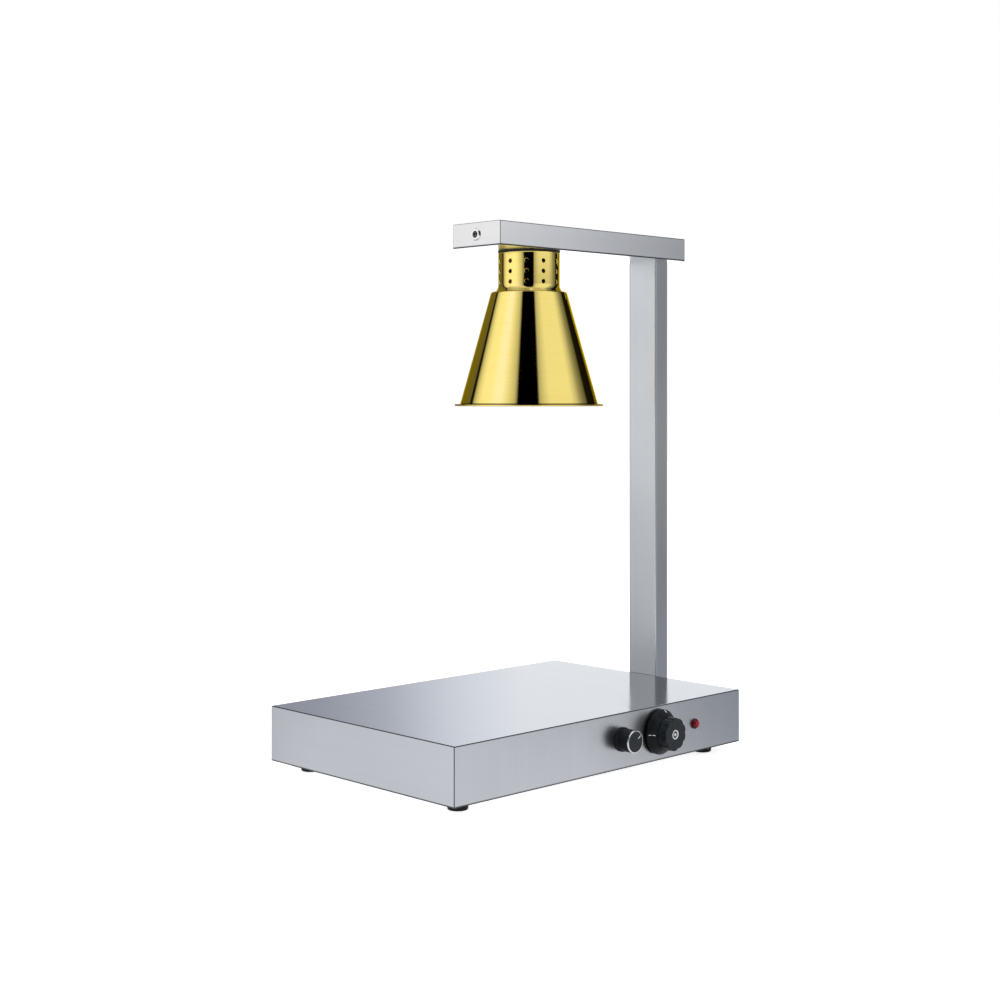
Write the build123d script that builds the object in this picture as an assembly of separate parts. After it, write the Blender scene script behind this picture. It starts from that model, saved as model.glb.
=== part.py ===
from build123d import *
import os
from math import copysign, cos, radians, sin, sqrt

# Heated carving station: a folded stainless base with a heated top, a column on its right-hand end and an
# arm that hangs a brass heat lamp over the top. Millimetres, Z up. X runs along the base towards the column
# and the controls are on the front, which faces -Y. Places are worked out from the middle of the base, and
# the finished pieces are moved so that the origin is on the table under the middle of the whole station.

# Base cover and bottom plate
BASE_LENGTH = 530.0
BASE_WIDTH = 350.0
BASE_HEIGHT = 71.0
SHEET = 1.2
BEND_RADIUS = 1.8
LOWER_EDGE_RADIUS = 0.9
FLANGE_WIDTH = 16.0
PLATE_SHEET = 1.2
PLATE_GAP = 0.6
PLATE_CORNER = 3.0
PLATE_SCREW_END = 60.0
VENT_COUNT = 11
VENT_PITCH = 18.0
VENT_LENGTH = 36.0
VENT_WIDTH = 5.0
VENT_INSET = 45.0

# Rubber feet
FOOT_HEIGHT = 13.0
FOOT_TOP_RADIUS = 12.8
FOOT_BOTTOM_RADIUS = 12.4
FOOT_EDGE = 1.8
FOOT_INSET_X = 38.0
FOOT_INSET_Y = 35.0
FOOT_SEAT = 6.5
FOOT_POCKET_RADIUS = 6.0

# Fasteners: small and large screws with nuts, and the column bolts
SMALL_RADIUS = 2.0
SMALL_HEAD_RADIUS = 3.6
SMALL_HEAD_HEIGHT = 2.4
SMALL_NUT_FLATS = 7.0
SMALL_NUT_HEIGHT = 3.2
LARGE_RADIUS = 2.5
LARGE_HEAD_RADIUS = 4.4
LARGE_HEAD_HEIGHT = 3.0
LARGE_NUT_FLATS = 8.0
LARGE_NUT_HEIGHT = 4.0
BOLT_RADIUS = 3.0
BOLT_HEAD_FLATS = 10.0
BOLT_HEAD_HEIGHT = 4.0
SCREW_CLEARANCE = 0.2
THREAD_CLEARANCE = 0.05
SCREW_PROUD = 1.5
PLATE_SCREW_LENGTH = 8.0

# Heater under the top
TRAY_END_MARGIN = 30.0
TRAY_FRONT_MARGIN = 63.0
TRAY_REAR_MARGIN = 25.0
TRAY_FLANGE = 12.0
TRAY_SHEET = 0.8
TRAY_DEPTH = 30.0
TRAY_STUD_END = 40.0
STUD_RADIUS = 2.0
SPREADER_THICKNESS = 3.0
SPREADER_MARGIN = 8.0
ELEMENT_RADIUS = 3.25
ELEMENT_LOOPS = 2
ELEMENT_SIDE_MARGIN = 36.0
ELEMENT_END_MARGIN = 28.0
ELEMENT_GAP = 0.05
BEAD_RADIUS = 3.1
BEAD_LENGTH = 10.0
PIN_RADIUS = 1.5
PIN_LENGTH = 9.0
CLAMP_COUNT = 3
CLAMP_WIDTH = 20.0
CLAMP_THICKNESS = 1.5
CLAMP_PITCH = 140.0
CLAMP_STUD_EDGE = 10.0
BLANKET_GAP = 1.0
BLANKET_EDGE = 4.0

# Controls on the front panel
CONTROL_HEIGHT = 37.5
CONTROL_PITCH = 70.5
INDICATOR_PITCH = 73.0
DIMMER_X = 24.0
SPINDLE_RADIUS = 3.0
SPINDLE_FLAT = 0.8
RUN_CLEARANCE = 0.05
THERMOSTAT_WIDTH = 38.0
THERMOSTAT_HEIGHT = 36.0
THERMOSTAT_DEPTH = 30.0
THERMOSTAT_SCREW_PITCH = 28.0
THERMOSTAT_BUSH_RADIUS = 4.6
THERMOSTAT_BUSH_PROUD = 0.4
SPINDLE_DEPTH = 14.0
BODY_CHAMFER = 2.0
TAB_WIDTH = 6.3
TAB_THICKNESS = 0.8
TAB_LENGTH = 8.0
TAB_PITCH = 11.0
PANEL_HOLE_CLEARANCE = 0.2
CONTROL_SCREW_LENGTH = 8.0

# Thermostat knob
DIAL_REACH = 28.6
DIAL_GAP = 4.0
DIAL_RIM_RADIUS = 29.0
DIAL_RIM_HEIGHT = 1.4
DIAL_BEVEL_RADIUS = 22.0
DIAL_BEVEL_HEIGHT = 11.4
DIAL_GROOVE_DEPTH = 2.5
DIAL_GROOVE_WIDTH = 1.2
GRIP_RADIUS = 21.6
GRIP_TAPER = 3.0
GRIP_LOBES = 10
GRIP_SCALLOP_RADIUS = 5.0
GRIP_SCALLOP_DEPTH = 1.3
GRIP_EDGE = 0.9
DIAL_WALL = 4.0
DIAL_HOLLOW_DEPTH = 4.0
HUB_RADIUS = 7.5
HUB_RECESS = 0.4
DIAL_CAP_RADIUS = 6.2
DIAL_CAP_THICKNESS = 1.2
DIAL_CAP_GROOVE = 1.6
DIAL_CAP_GROOVE_DEPTH = 0.5
KNOB_FRONT_WALL = 5.0
KNOB_FIT = 0.05

# Dimmer and its knob
DIMMER_WIDTH = 38.0
DIMMER_HEIGHT = 36.0
DIMMER_DEPTH = 22.0
BUSH_RADIUS = 5.0
BUSH_PROUD = 7.0
BUSH_NUT_FLATS = 14.0
BUSH_NUT_HEIGHT = 2.5
DIMMER_REACH = 22.0
DIMMER_GAP = 0.6
DIMMER_FLANGE_RADIUS = 15.4
DIMMER_FLANGE_HEIGHT = 2.6
DIMMER_FLANGE_BEVEL = 0.8
DIMMER_BODY_RADIUS = 14.3
DIMMER_HOLLOW_ROOM = 1.6
DIMMER_RING_WIDTH = 1.3
DIMMER_RING_HEIGHT = 1.6
KNURL_COUNT = 40
KNURL_DEPTH = 0.5
POINTER_ANGLE = 56.0
POINTER_LENGTH = 6.5
POINTER_WIDTH = 1.3
POINTER_DEPTH = 0.4
POINTER_MARGIN = 0.8

# Indicator lamp
LENS_FLANGE_RADIUS = 6.8
LENS_FLANGE_HEIGHT = 1.6
LENS_DOME_RADIUS = 6.4
LENS_REACH = 6.8
LENS_STEM_LENGTH = 6.0
INDICATOR_RADIUS = 5.0
INDICATOR_WALL = 1.0
INDICATOR_LENGTH = 26.0
INDICATOR_NUT_FLATS = 14.0
INDICATOR_NUT_HEIGHT = 4.0

# Thermostat sensor on the heat spreader
SENSOR_RADIUS = 3.0
SENSOR_LENGTH = 78.0
SENSOR_SPACE = 15.0
SENSOR_GAP = 0.1
CAPILLARY_RADIUS = 0.8
CAPILLARY_BEND = 5.0
CAPILLARY_SIDE = 10.0
CAPILLARY_DROP = 16.0
CAPILLARY_STEP = 12.0
CLIP_COUNT = 2
CLIP_PITCH = 44.0
CLIP_WIDTH = 8.0
CLIP_SHEET = 0.8
CLIP_FOOT = 6.0

# Terminal block, earth screw and cord gland
TERMINAL_INSET_X = 75.0
TERMINAL_INSET_Y = 55.0
TERMINAL_LENGTH = 52.0
TERMINAL_WIDTH = 22.0
TERMINAL_HEIGHT = 18.0
TERMINAL_WAYS = 4
TERMINAL_HOLE_RADIUS = 2.6
TERMINAL_HOLE_DEPTH = 7.0
TERMINAL_SCREW_PITCH = 26.0
TERMINAL_CHAMFER = 1.5
EARTH_INSET_X = 125.0
EARTH_INSET_Y = 35.0
GLAND_INSET = 65.0
GLAND_HEIGHT = 40.0
GLAND_REACH = 28.6
GLAND_THREAD_RADIUS = 10.0
GLAND_NECK_RADIUS = 9.0
GLAND_FLATS = 24.0
GLAND_COLLAR = 5.0
GLAND_NECK_LENGTH = 11.0
GLAND_INSIDE = 9.0
GLAND_NUT_GAP = 1.0
GLAND_NUT_GRIP = 11.0
GLAND_MOUTH_RADIUS = 6.0
GLAND_NUT_WALL = 2.0
LOCKNUT_FLATS = 26.0
LOCKNUT_HEIGHT = 5.0
SEAL_RADIUS = 6.6
SEAL_BORE = 4.0
SEAL_LENGTH = 20.0
SEAL_CLEARANCE = 0.1

# Column
COLUMN_DEPTH = 27.0
COLUMN_WIDTH = 50.0
COLUMN_WALL = 1.5
COLUMN_CORNER = 1.8
LEAST_CORNER = 0.3
COLUMN_RISE = 595.0
COLUMN_FOOT_GAP = 3.0
COLUMN_HEAD = 5.0
PLUG_FLANGE = 2.0
PLUG_DEPTH = 6.0
PLUG_WALL = 2.0
PLUG_CLEARANCE = 0.1
BACKING_THICKNESS = 3.0
BACKING_EDGE = 7.0
BACKING_CORNER = 4.0
NUT_PLATE_THICKNESS = 5.0
NUT_PLATE_CLEARANCE = 0.5
BOLT_PITCH_Y = 28.0
BOLT_PITCH_Z = 36.0
GROMMET_RADIUS = 7.0
GROMMET_FLANGE = 2.0
GROMMET_FLANGE_HEIGHT = 1.6
GROMMET_CLEARANCE = 0.1

# Arm
ARM_WIDTH = 90.0
ARM_HEIGHT = 32.0
ARM_SHEET = 1.2
ARM_CORNER = 1.8
ARM_REACH = 330.0
ARM_TAIL = 14.0
ARM_SCREW_PITCH_X = 14.0
ARM_SCREW_PITCH_Y = 30.0
ARM_SCREW_LENGTH = 6.0
CABLE_HOLE_RADIUS = 8.0
END_CAP_THICKNESS = 1.5
END_CAP_LIP = 8.0
END_CAP_LIP_WIDTH = 60.0
END_CAP_CLEARANCE = 0.2
END_CAP_EDGE = 1.1
BRACKET_SETBACK = 14.0
BRACKET_WIDTH = 24.0
BRACKET_SHEET = 2.0
BRACKET_BOSS_RADIUS = 5.0
BRACKET_BOSS_LENGTH = 6.0
CUP_RADIUS = 8.0
CUP_RIM_RADIUS = 7.0
CUP_HEIGHT = 2.2
CUP_WALL = 0.8
CAP_SCREW_HEAD_RADIUS = 4.5
CAP_SCREW_HEAD_HEIGHT = 2.6
CAP_SCREW_SOCKET = 3.0
CAP_SCREW_SOCKET_DEPTH = 1.5
CAP_SCREW_LENGTH = 20.0

# Heat lamp
LAMP_SETBACK = 98.0
RING_OVERHANG = 0.65
RING_HEIGHT = 2.0
RING_EDGE = 0.8
BRASS_WALL = 1.0
COLLAR_RADIUS = 41.35
COLLAR_HEIGHT = 53.0
COLLAR_CORNER = 2.0
COLLAR_FLARE = 4.2
COLLAR_FLARE_RISE = 6.0
COLLAR_FLARE_BEND = 10.0
COLLAR_VENT_RADIUS = 2.7
COLLAR_VENT_BEVEL = 0.5
COLLAR_VENT_COLUMNS = 11
COLLAR_VENT_ROWS = 3
COLLAR_VENT_TOP = 13.1
COLLAR_VENT_PITCH = 13.7
COLLAR_VENT_PHASE = -140.0
SPIGOT_HEIGHT = 9.0
SPIGOT_FIT = 0.15
SPIGOT_BEND = 0.5
SHADE_LEDGE = 9.65
SHADE_SHOULDER = 3.0
SHADE_FOOT_RADIUS = 93.0
SHADE_HEIGHT = 152.0
SHADE_LIP = 5.7
SHADE_BEAD_RADIUS = 1.3
SHADE_LIP_BEND = 1.6
NIPPLE_RADIUS = 5.0
NIPPLE_PROUD = 7.0
NIPPLE_NUT_FLATS = 14.0
NIPPLE_NUT_HEIGHT = 4.0
HOLDER_RADIUS = 22.5
HOLDER_HEIGHT = 48.0
HOLDER_EDGE = 4.0
HOLDER_NECK = 8.0
HOLDER_SOCKET_DEPTH = 34.0
SHELL_WALL = 0.8
SHELL_LENGTH = 26.0
SHELL_CLEARANCE = 0.1
BULB_CAP_RADIUS = 13.2
BULB_CAP_WALL = 0.5
BULB_CAP_LENGTH = 26.0
BULB_CAP_TIP_RADIUS = 5.0
BULB_CAP_TIP_HEIGHT = 4.0
BULB_CAP_CLEARANCE = 0.6
BULB_LENGTH = 136.0
BULB_RADIUS = 61.0
BULB_GLASS = 1.6
BULB_NECK_LENGTH = 7.0
BULB_SHOULDER_RADIUS = 24.0
BULB_SHOULDER_DROP = 10.0
BULB_RIM_HEIGHT = 9.0
BULB_FACE_RISE = 14.0
BULB_BEND = 4.0

# Cables
CABLE_RADIUS = 3.0
CABLE_CLEARANCE = 0.4
CABLE_BEND = 18.0
CABLE_TURN = 10.0
CABLE_AISLE = 49.0
CABLE_END_AISLE = 19.0
CABLE_ARM_LEVEL = 20.0
LEAD_RADIUS = 1.2
LEAD_BEND = 6.0
LEAD_LANE = 6.0
LEAD_SIDE = 8.0
LEAD_END_GAP = 0.2

# Levels above the table
BASE_BOTTOM = FOOT_HEIGHT
BASE_TOP = BASE_BOTTOM + BASE_HEIGHT
TOP_INSIDE = BASE_TOP - SHEET
FLANGE_LEVEL = BASE_BOTTOM + PLATE_SHEET
CONTROL_Z = BASE_BOTTOM + CONTROL_HEIGHT
ELEMENT_Z = TOP_INSIDE - SPREADER_THICKNESS - ELEMENT_GAP - ELEMENT_RADIUS
CLAMP_LEVEL = ELEMENT_Z - ELEMENT_RADIUS - ELEMENT_GAP - CLAMP_THICKNESS
CLAMP_STUD_TIP = CLAMP_LEVEL - SMALL_NUT_HEIGHT - SCREW_PROUD
TRAY_STUD_TIP = TOP_INSIDE - TRAY_SHEET - SMALL_NUT_HEIGHT - SCREW_PROUD
JOINT_Z = (FLANGE_LEVEL + SHEET + TOP_INSIDE) / 2
ARM_BOTTOM = BASE_TOP + COLUMN_RISE
ARM_MIDDLE = ARM_BOTTOM + ARM_HEIGHT / 2
COLLAR_TOP = ARM_BOTTOM - RING_HEIGHT
SHADE_TOP = COLLAR_TOP - COLLAR_HEIGHT
HOLDER_TOP = COLLAR_TOP - BRASS_WALL
SOCKET_TOP = HOLDER_TOP - HOLDER_HEIGHT + HOLDER_SOCKET_DEPTH
BULB_TOP = SOCKET_TOP - SHELL_WALL

# Places along and across the base
ELEMENT_RUNS = 2 * ELEMENT_LOOPS
END_FACE = BASE_LENGTH / 2
PANEL_FACE = -BASE_WIDTH / 2
PANEL_INSIDE = PANEL_FACE + SHEET
REAR_FACE = BASE_WIDTH / 2
REAR_INSIDE = REAR_FACE - SHEET
THERMOSTAT_X = DIMMER_X + CONTROL_PITCH
INDICATOR_X = THERMOSTAT_X + INDICATOR_PITCH
TRAY_LEFT = -END_FACE + TRAY_END_MARGIN
TRAY_RIGHT = END_FACE - TRAY_END_MARGIN
TRAY_FRONT = PANEL_FACE + TRAY_FRONT_MARGIN
TRAY_REAR = REAR_FACE - TRAY_REAR_MARGIN
HEATER_Y = (TRAY_FRONT + TRAY_REAR) / 2
SPREADER_HALF_X = TRAY_RIGHT - TRAY_FLANGE - SPREADER_MARGIN
SPREADER_HALF_Y = TRAY_REAR - TRAY_FLANGE - SPREADER_MARGIN - HEATER_Y
ELEMENT_HALF = SPREADER_HALF_X - ELEMENT_END_MARGIN
ELEMENT_PITCH = 2 * (SPREADER_HALF_Y - ELEMENT_SIDE_MARGIN) / (ELEMENT_RUNS - 1)
SENSOR_Y = HEATER_Y - (ELEMENT_RUNS - 1) / 2 * ELEMENT_PITCH - SENSOR_SPACE
COLUMN_X = END_FACE + COLUMN_DEPTH / 2
ARM_FRONT = END_FACE - ARM_REACH
ARM_BACK = END_FACE + COLUMN_DEPTH + ARM_TAIL
LAMP_X = ARM_FRONT + LAMP_SETBACK
GLAND_X = END_FACE - GLAND_INSET
GLAND_Z = BASE_BOTTOM + GLAND_HEIGHT
TERMINAL_X = END_FACE - TERMINAL_INSET_X
TERMINAL_Y = REAR_FACE - TERMINAL_INSET_Y
EARTH_SPOT = (END_FACE - EARTH_INSET_X, REAR_FACE - EARTH_INSET_Y)
ORIGIN_SHIFT = (-(COLUMN_DEPTH + ARM_TAIL) / 2, (DIAL_REACH - GLAND_REACH) / 2, 0)

# Hole and fastener patterns shared by the pieces that they join
FOOT_X = END_FACE - FOOT_INSET_X
FOOT_Y = REAR_FACE - FOOT_INSET_Y
FOOT_SPOTS = {
    "foot_front_left": (-FOOT_X, -FOOT_Y),
    "foot_front_right": (FOOT_X, -FOOT_Y),
    "foot_rear_left": (-FOOT_X, FOOT_Y),
    "foot_rear_right": (FOOT_X, FOOT_Y),
}
FLANGE_X = END_FACE - SHEET - FLANGE_WIDTH / 2
FLANGE_Y = REAR_FACE - SHEET - FLANGE_WIDTH / 2
PLATE_SCREW_X = END_FACE - PLATE_SCREW_END
PLATE_SCREW_SPOTS = [(x, y) for x in (-PLATE_SCREW_X, 0, PLATE_SCREW_X) for y in (-FLANGE_Y, FLANGE_Y)]
PLATE_SCREW_SPOTS += [(-FLANGE_X, 0), (FLANGE_X, 0)]
TRAY_STUD_X = TRAY_RIGHT - TRAY_STUD_END
TRAY_STUD_SPOTS = [
    (x, y)
    for x in (-TRAY_STUD_X, 0, TRAY_STUD_X)
    for y in (TRAY_FRONT + TRAY_FLANGE / 2, TRAY_REAR - TRAY_FLANGE / 2)
]
CLAMP_PLACES = [(i - (CLAMP_COUNT - 1) / 2) * CLAMP_PITCH for i in range(CLAMP_COUNT)]
CLAMP_STUD_REACH = SPREADER_HALF_Y - CLAMP_STUD_EDGE
CLAMP_STUD_SPOTS = [(x, HEATER_Y + side * CLAMP_STUD_REACH) for x in CLAMP_PLACES for side in (-1, 1)]
COLUMN_BOLT_SPOTS = [
    (y * BOLT_PITCH_Y / 2, JOINT_Z + z * BOLT_PITCH_Z / 2) for y in (-1, 1) for z in (-1, 1)
]
ARM_SCREW_SPOTS = [
    (COLUMN_X + x * ARM_SCREW_PITCH_X / 2, y * ARM_SCREW_PITCH_Y / 2) for x in (-1, 1) for y in (-1, 1)
]
TERMINAL_SCREW_SPOTS = [(TERMINAL_X + side * TERMINAL_SCREW_PITCH / 2, TERMINAL_Y) for side in (-1, 1)]

# Bores that the lamp cable passes through
NIPPLE_BORE = CABLE_RADIUS + CABLE_CLEARANCE
GROMMET_BORE = CABLE_RADIUS + CABLE_CLEARANCE

LOW = (Align.CENTER, Align.CENTER, Align.MIN)
UP = (0, 0, 1)
DOWN = (0, 0, -1)
BACK = (0, 1, 0)
RIGHT = (1, 0, 0)


def block(x_range, y_range, z_range):
    """Box between two values on each axis."""
    ranges = (x_range, y_range, z_range)
    size = [high - low for low, high in ranges]
    middle = [(low + high) / 2 for low, high in ranges]
    return Pos(*middle) * Box(*size)


def rod(radius, start, end):
    """Round bar between two points."""
    axis = Vector(end) - Vector(start)
    return Plane(origin=start, z_dir=axis) * Cylinder(radius, axis.length, align=LOW)


def turned(*outline):
    """Solid turned about Z from a closed outline of (radius, height) points."""
    return revolve(Plane.XZ * make_face(Polyline(*outline, close=True)), Axis.Z)


def beside(points, bends, wall):
    """Corners and bend radii of the line that runs one wall to the right of a bent line."""
    steps = [(Vector(end) - Vector(start)).normalized() for start, end in zip(points, points[1:])]
    sides = [Vector(step.Y, -step.X) for step in steps]
    corners = [Vector(points[0]) + sides[0] * wall]
    radii = []
    for corner, bend, before, after in zip(points[1:-1], bends, sides, sides[1:]):
        corners.append(Vector(corner) + (before + after) * (wall / (1 + before.dot(after))))
        turns_left = before.cross(after).Z > 0
        radii.append(bend + wall if turns_left else bend - wall)
    corners.append(Vector(points[-1]) + sides[-1] * wall)
    return corners, radii


def spun(points, bends, wall):
    """Sheet spun about Z along a bent (radius, height) line, with its thickness to the right of the line."""
    inner_points, inner_bends = beside(points, bends, wall)
    outer = FilletPolyline(*points, radius=bends)
    inner = FilletPolyline(*inner_points, radius=inner_bends)
    outline = outer + Line(outer @ 1, inner @ 1) + inner + Line(inner @ 0, outer @ 0)
    return revolve(Plane.XZ * make_face(outline), Axis.Z)


def dome_arc(radius, level, crown):
    """Arc of a dome's (radius, height) section, from its edge at a level to its crown on the axis."""
    rise = crown - level
    curve = (radius**2 + rise**2) / (2 * rise)
    half = radius / 2
    middle = crown - curve + copysign(sqrt(curve**2 - half**2), curve)
    return ThreePointArc((radius, level), (half, middle), (0, crown))


def screw(seat, direction, radius, length, head_radius, head_height):
    """Pan-head screw whose head sits at seat and whose shank runs along direction."""
    outline = (
        (0, -head_height),
        (head_radius - head_height / 2, -head_height),
        (head_radius, -head_height / 2),
        (head_radius, 0),
        (radius, 0),
        (radius, length),
        (0, length),
    )
    return Plane(origin=seat, z_dir=direction) * turned(*outline)


def small_screw(seat, direction, length):
    return screw(seat, direction, SMALL_RADIUS, length, SMALL_HEAD_RADIUS, SMALL_HEAD_HEIGHT)


def large_screw(seat, direction, length):
    return screw(seat, direction, LARGE_RADIUS, length, LARGE_HEAD_RADIUS, LARGE_HEAD_HEIGHT)


def hexagon(flats):
    return RegularPolygon(flats / 2, 6, major_radius=False)


def nut(seat, direction, flats, height, bore):
    """Hexagon nut that sits at seat and is as high as height along direction."""
    return Plane(origin=seat, z_dir=direction) * extrude(hexagon(flats) - Circle(bore), height)


def small_nut(seat, direction):
    return nut(seat, direction, SMALL_NUT_FLATS, SMALL_NUT_HEIGHT, SMALL_RADIUS + THREAD_CLEARANCE)


def large_nut(seat, direction):
    return nut(seat, direction, LARGE_NUT_FLATS, LARGE_NUT_HEIGHT, LARGE_RADIUS + THREAD_CLEARANCE)


def cable(points, bend, radius):
    """Round cable along straight runs that meet in arcs."""
    path = FilletPolyline(*points, radius=bend)
    return sweep(Plane(origin=path @ 0, z_dir=path % 0) * Circle(radius), path)


def panel(x, gap=0.0):
    """Plane in front of the panel at a control: its own Z points out of the panel and its own Y points up."""
    return Plane(origin=(x, PANEL_FACE - gap, CONTROL_Z), x_dir=RIGHT, z_dir=(0, -1, 0))


def save(node, *solids):
    """Write the solids of one node, moved to the station's origin."""
    placed = [Pos(*ORIGIN_SHIFT) * solid for solid in solids]
    export_step(placed[0] if len(placed) == 1 else Compound(children=placed), f"parts/{node}.step")


def base_cover():
    """Folded box, open below, with in-turned lower flanges and the weld studs of the heater."""
    outer = block((-END_FACE, END_FACE), (PANEL_FACE, REAR_FACE), (BASE_BOTTOM, BASE_TOP))
    folds = outer.edges().filter_by(Axis.Z) + outer.edges().group_by(Axis.Z)[-1]
    cover = fillet(folds, BEND_RADIUS)
    cover = fillet(cover.edges().group_by(Axis.Z)[0], LOWER_EDGE_RADIUS)
    inner_x = (-END_FACE + SHEET, END_FACE - SHEET)
    inner_y = (PANEL_INSIDE, REAR_INSIDE)
    cover -= block(inner_x, inner_y, (FLANGE_LEVEL + SHEET, TOP_INSIDE))
    cover -= block(inner_x, inner_y, (BASE_BOTTOM, FLANGE_LEVEL))
    mouth_x = (inner_x[0] + FLANGE_WIDTH, inner_x[1] - FLANGE_WIDTH)
    mouth_y = (inner_y[0] + FLANGE_WIDTH, inner_y[1] - FLANGE_WIDTH)
    cover -= block(mouth_x, mouth_y, (BASE_BOTTOM, BASE_TOP - BASE_HEIGHT / 2))
    for x, y in PLATE_SCREW_SPOTS:
        tapped = SMALL_RADIUS + THREAD_CLEARANCE
        cover -= rod(tapped, (x, y, BASE_BOTTOM), (x, y, FLANGE_LEVEL + SHEET))
    control_holes = [
        (DIMMER_X, BUSH_RADIUS),
        (THERMOSTAT_X, THERMOSTAT_BUSH_RADIUS),
        (INDICATOR_X, INDICATOR_RADIUS),
    ]
    for side in (-1, 1):
        control_holes.append((THERMOSTAT_X + side * THERMOSTAT_SCREW_PITCH / 2, SMALL_RADIUS))
    for x, radius in control_holes:
        hole = radius + PANEL_HOLE_CLEARANCE
        cover -= rod(hole, (x, PANEL_FACE, CONTROL_Z), (x, PANEL_INSIDE, CONTROL_Z))
    gland_hole = GLAND_THREAD_RADIUS + PANEL_HOLE_CLEARANCE
    cover -= rod(gland_hole, (GLAND_X, REAR_INSIDE, GLAND_Z), (GLAND_X, REAR_FACE, GLAND_Z))
    cover -= column_joint_holes(END_FACE - SHEET, END_FACE)
    for spots, tip in ((TRAY_STUD_SPOTS, TRAY_STUD_TIP), (CLAMP_STUD_SPOTS, CLAMP_STUD_TIP)):
        for x, y in spots:
            cover += rod(STUD_RADIUS, (x, y, tip), (x, y, TOP_INSIDE))
    return cover


def column_joint_holes(start, end):
    """Bolt holes and cable hole of the joint between base and column, from one X to another."""
    holes = rod(GROMMET_RADIUS + GROMMET_CLEARANCE, (start, 0, JOINT_Z), (end, 0, JOINT_Z))
    for y, z in COLUMN_BOLT_SPOTS:
        holes += rod(BOLT_RADIUS + SCREW_CLEARANCE, (start, y, z), (end, y, z))
    return holes


def bottom_plate():
    """Flat plate that closes the base from below, with vents under the controls."""
    half_x = END_FACE - SHEET - PLATE_GAP
    half_y = REAR_INSIDE - PLATE_GAP
    plate = block((-half_x, half_x), (-half_y, half_y), (BASE_BOTTOM, FLANGE_LEVEL))
    plate = fillet(plate.edges().filter_by(Axis.Z), PLATE_CORNER)
    small_holes = PLATE_SCREW_SPOTS + TERMINAL_SCREW_SPOTS
    large_holes = list(FOOT_SPOTS.values()) + [EARTH_SPOT]
    for spots, radius in ((small_holes, SMALL_RADIUS), (large_holes, LARGE_RADIUS)):
        for x, y in spots:
            plate -= rod(radius + SCREW_CLEARANCE, (x, y, BASE_BOTTOM), (x, y, FLANGE_LEVEL))
    vent = extrude(Rot(0, 0, 90) * SlotOverall(VENT_LENGTH, VENT_WIDTH), PLATE_SHEET)
    for i in range(VENT_COUNT):
        x = (i - (VENT_COUNT - 1) / 2) * VENT_PITCH
        plate -= Pos(x, PANEL_FACE + VENT_INSET, BASE_BOTTOM) * vent
    return plate


def foot():
    """Rubber foot with a rounded edge and a pocket for its screw head, on the table at the origin."""
    hole = LARGE_RADIUS + SCREW_CLEARANCE
    body = turned(
        (hole, FOOT_HEIGHT),
        (hole, FOOT_SEAT),
        (FOOT_POCKET_RADIUS, FOOT_SEAT),
        (FOOT_POCKET_RADIUS, 0),
        (FOOT_BOTTOM_RADIUS, 0),
        (FOOT_TOP_RADIUS, FOOT_HEIGHT),
    )
    edge = body.edges().group_by(Axis.Z)[0].sort_by(SortBy.RADIUS)[-1]
    return fillet(edge, FOOT_EDGE)


def foot_screw(spot):
    """Screw from the foot's pocket through the bottom plate and its nut."""
    length = FLANGE_LEVEL + LARGE_NUT_HEIGHT + SCREW_PROUD - FOOT_SEAT
    return large_screw((*spot, FOOT_SEAT), UP, length)


def heat_spreader():
    """Aluminium plate against the underside of the top."""
    plate = block(
        (-SPREADER_HALF_X, SPREADER_HALF_X),
        (HEATER_Y - SPREADER_HALF_Y, HEATER_Y + SPREADER_HALF_Y),
        (TOP_INSIDE - SPREADER_THICKNESS, TOP_INSIDE),
    )
    for x, y in CLAMP_STUD_SPOTS:
        bottom = (x, y, TOP_INSIDE - SPREADER_THICKNESS)
        plate -= rod(STUD_RADIUS + SCREW_CLEARANCE, bottom, (x, y, TOP_INSIDE))
    return plate


def element_rows():
    """Y of each straight run of the heating element."""
    return [HEATER_Y + (i - (ELEMENT_RUNS - 1) / 2) * ELEMENT_PITCH for i in range(ELEMENT_RUNS)]


def heating_element():
    """Tubular element laid in parallel runs that join in half circles, with both ends on the right."""
    bend = ELEMENT_PITCH / 2
    rows = element_rows()
    last = ELEMENT_RUNS - 1
    edges = []
    for i, y in enumerate(rows):
        heading = -1 if i % 2 == 0 else 1
        start = ELEMENT_HALF if i == 0 else -heading * (ELEMENT_HALF - bend)
        end = heading * (ELEMENT_HALF if i == last else ELEMENT_HALF - bend)
        edges.append(Line((start, y, ELEMENT_Z), (end, y, ELEMENT_Z)))
        if i < last:
            middle = (end + heading * bend, y + bend, ELEMENT_Z)
            edges.append(ThreePointArc((end, y, ELEMENT_Z), middle, (end, rows[i + 1], ELEMENT_Z)))
    path = Wire(edges)
    section = Plane(origin=(ELEMENT_HALF, rows[0], ELEMENT_Z), z_dir=RIGHT) * Circle(ELEMENT_RADIUS)
    return sweep(section, path)


def element_terminal(y):
    """Ceramic bead and pin on one end of the element."""
    bead_end = ELEMENT_HALF + BEAD_LENGTH
    bead = rod(BEAD_RADIUS, (ELEMENT_HALF, y, ELEMENT_Z), (bead_end, y, ELEMENT_Z))
    return bead + rod(PIN_RADIUS, (bead_end, y, ELEMENT_Z), (bead_end + PIN_LENGTH, y, ELEMENT_Z))


def element_clamp(x):
    """Flat bar across the element, pulled up by a stud at each end."""
    bar = block(
        (x - CLAMP_WIDTH / 2, x + CLAMP_WIDTH / 2),
        (HEATER_Y - SPREADER_HALF_Y, HEATER_Y + SPREADER_HALF_Y),
        (CLAMP_LEVEL, CLAMP_LEVEL + CLAMP_THICKNESS),
    )
    for side in (-1, 1):
        y = HEATER_Y + side * CLAMP_STUD_REACH
        top = (x, y, CLAMP_LEVEL + CLAMP_THICKNESS)
        bar -= rod(STUD_RADIUS + SCREW_CLEARANCE, (x, y, CLAMP_LEVEL), top)
    return bar


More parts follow.
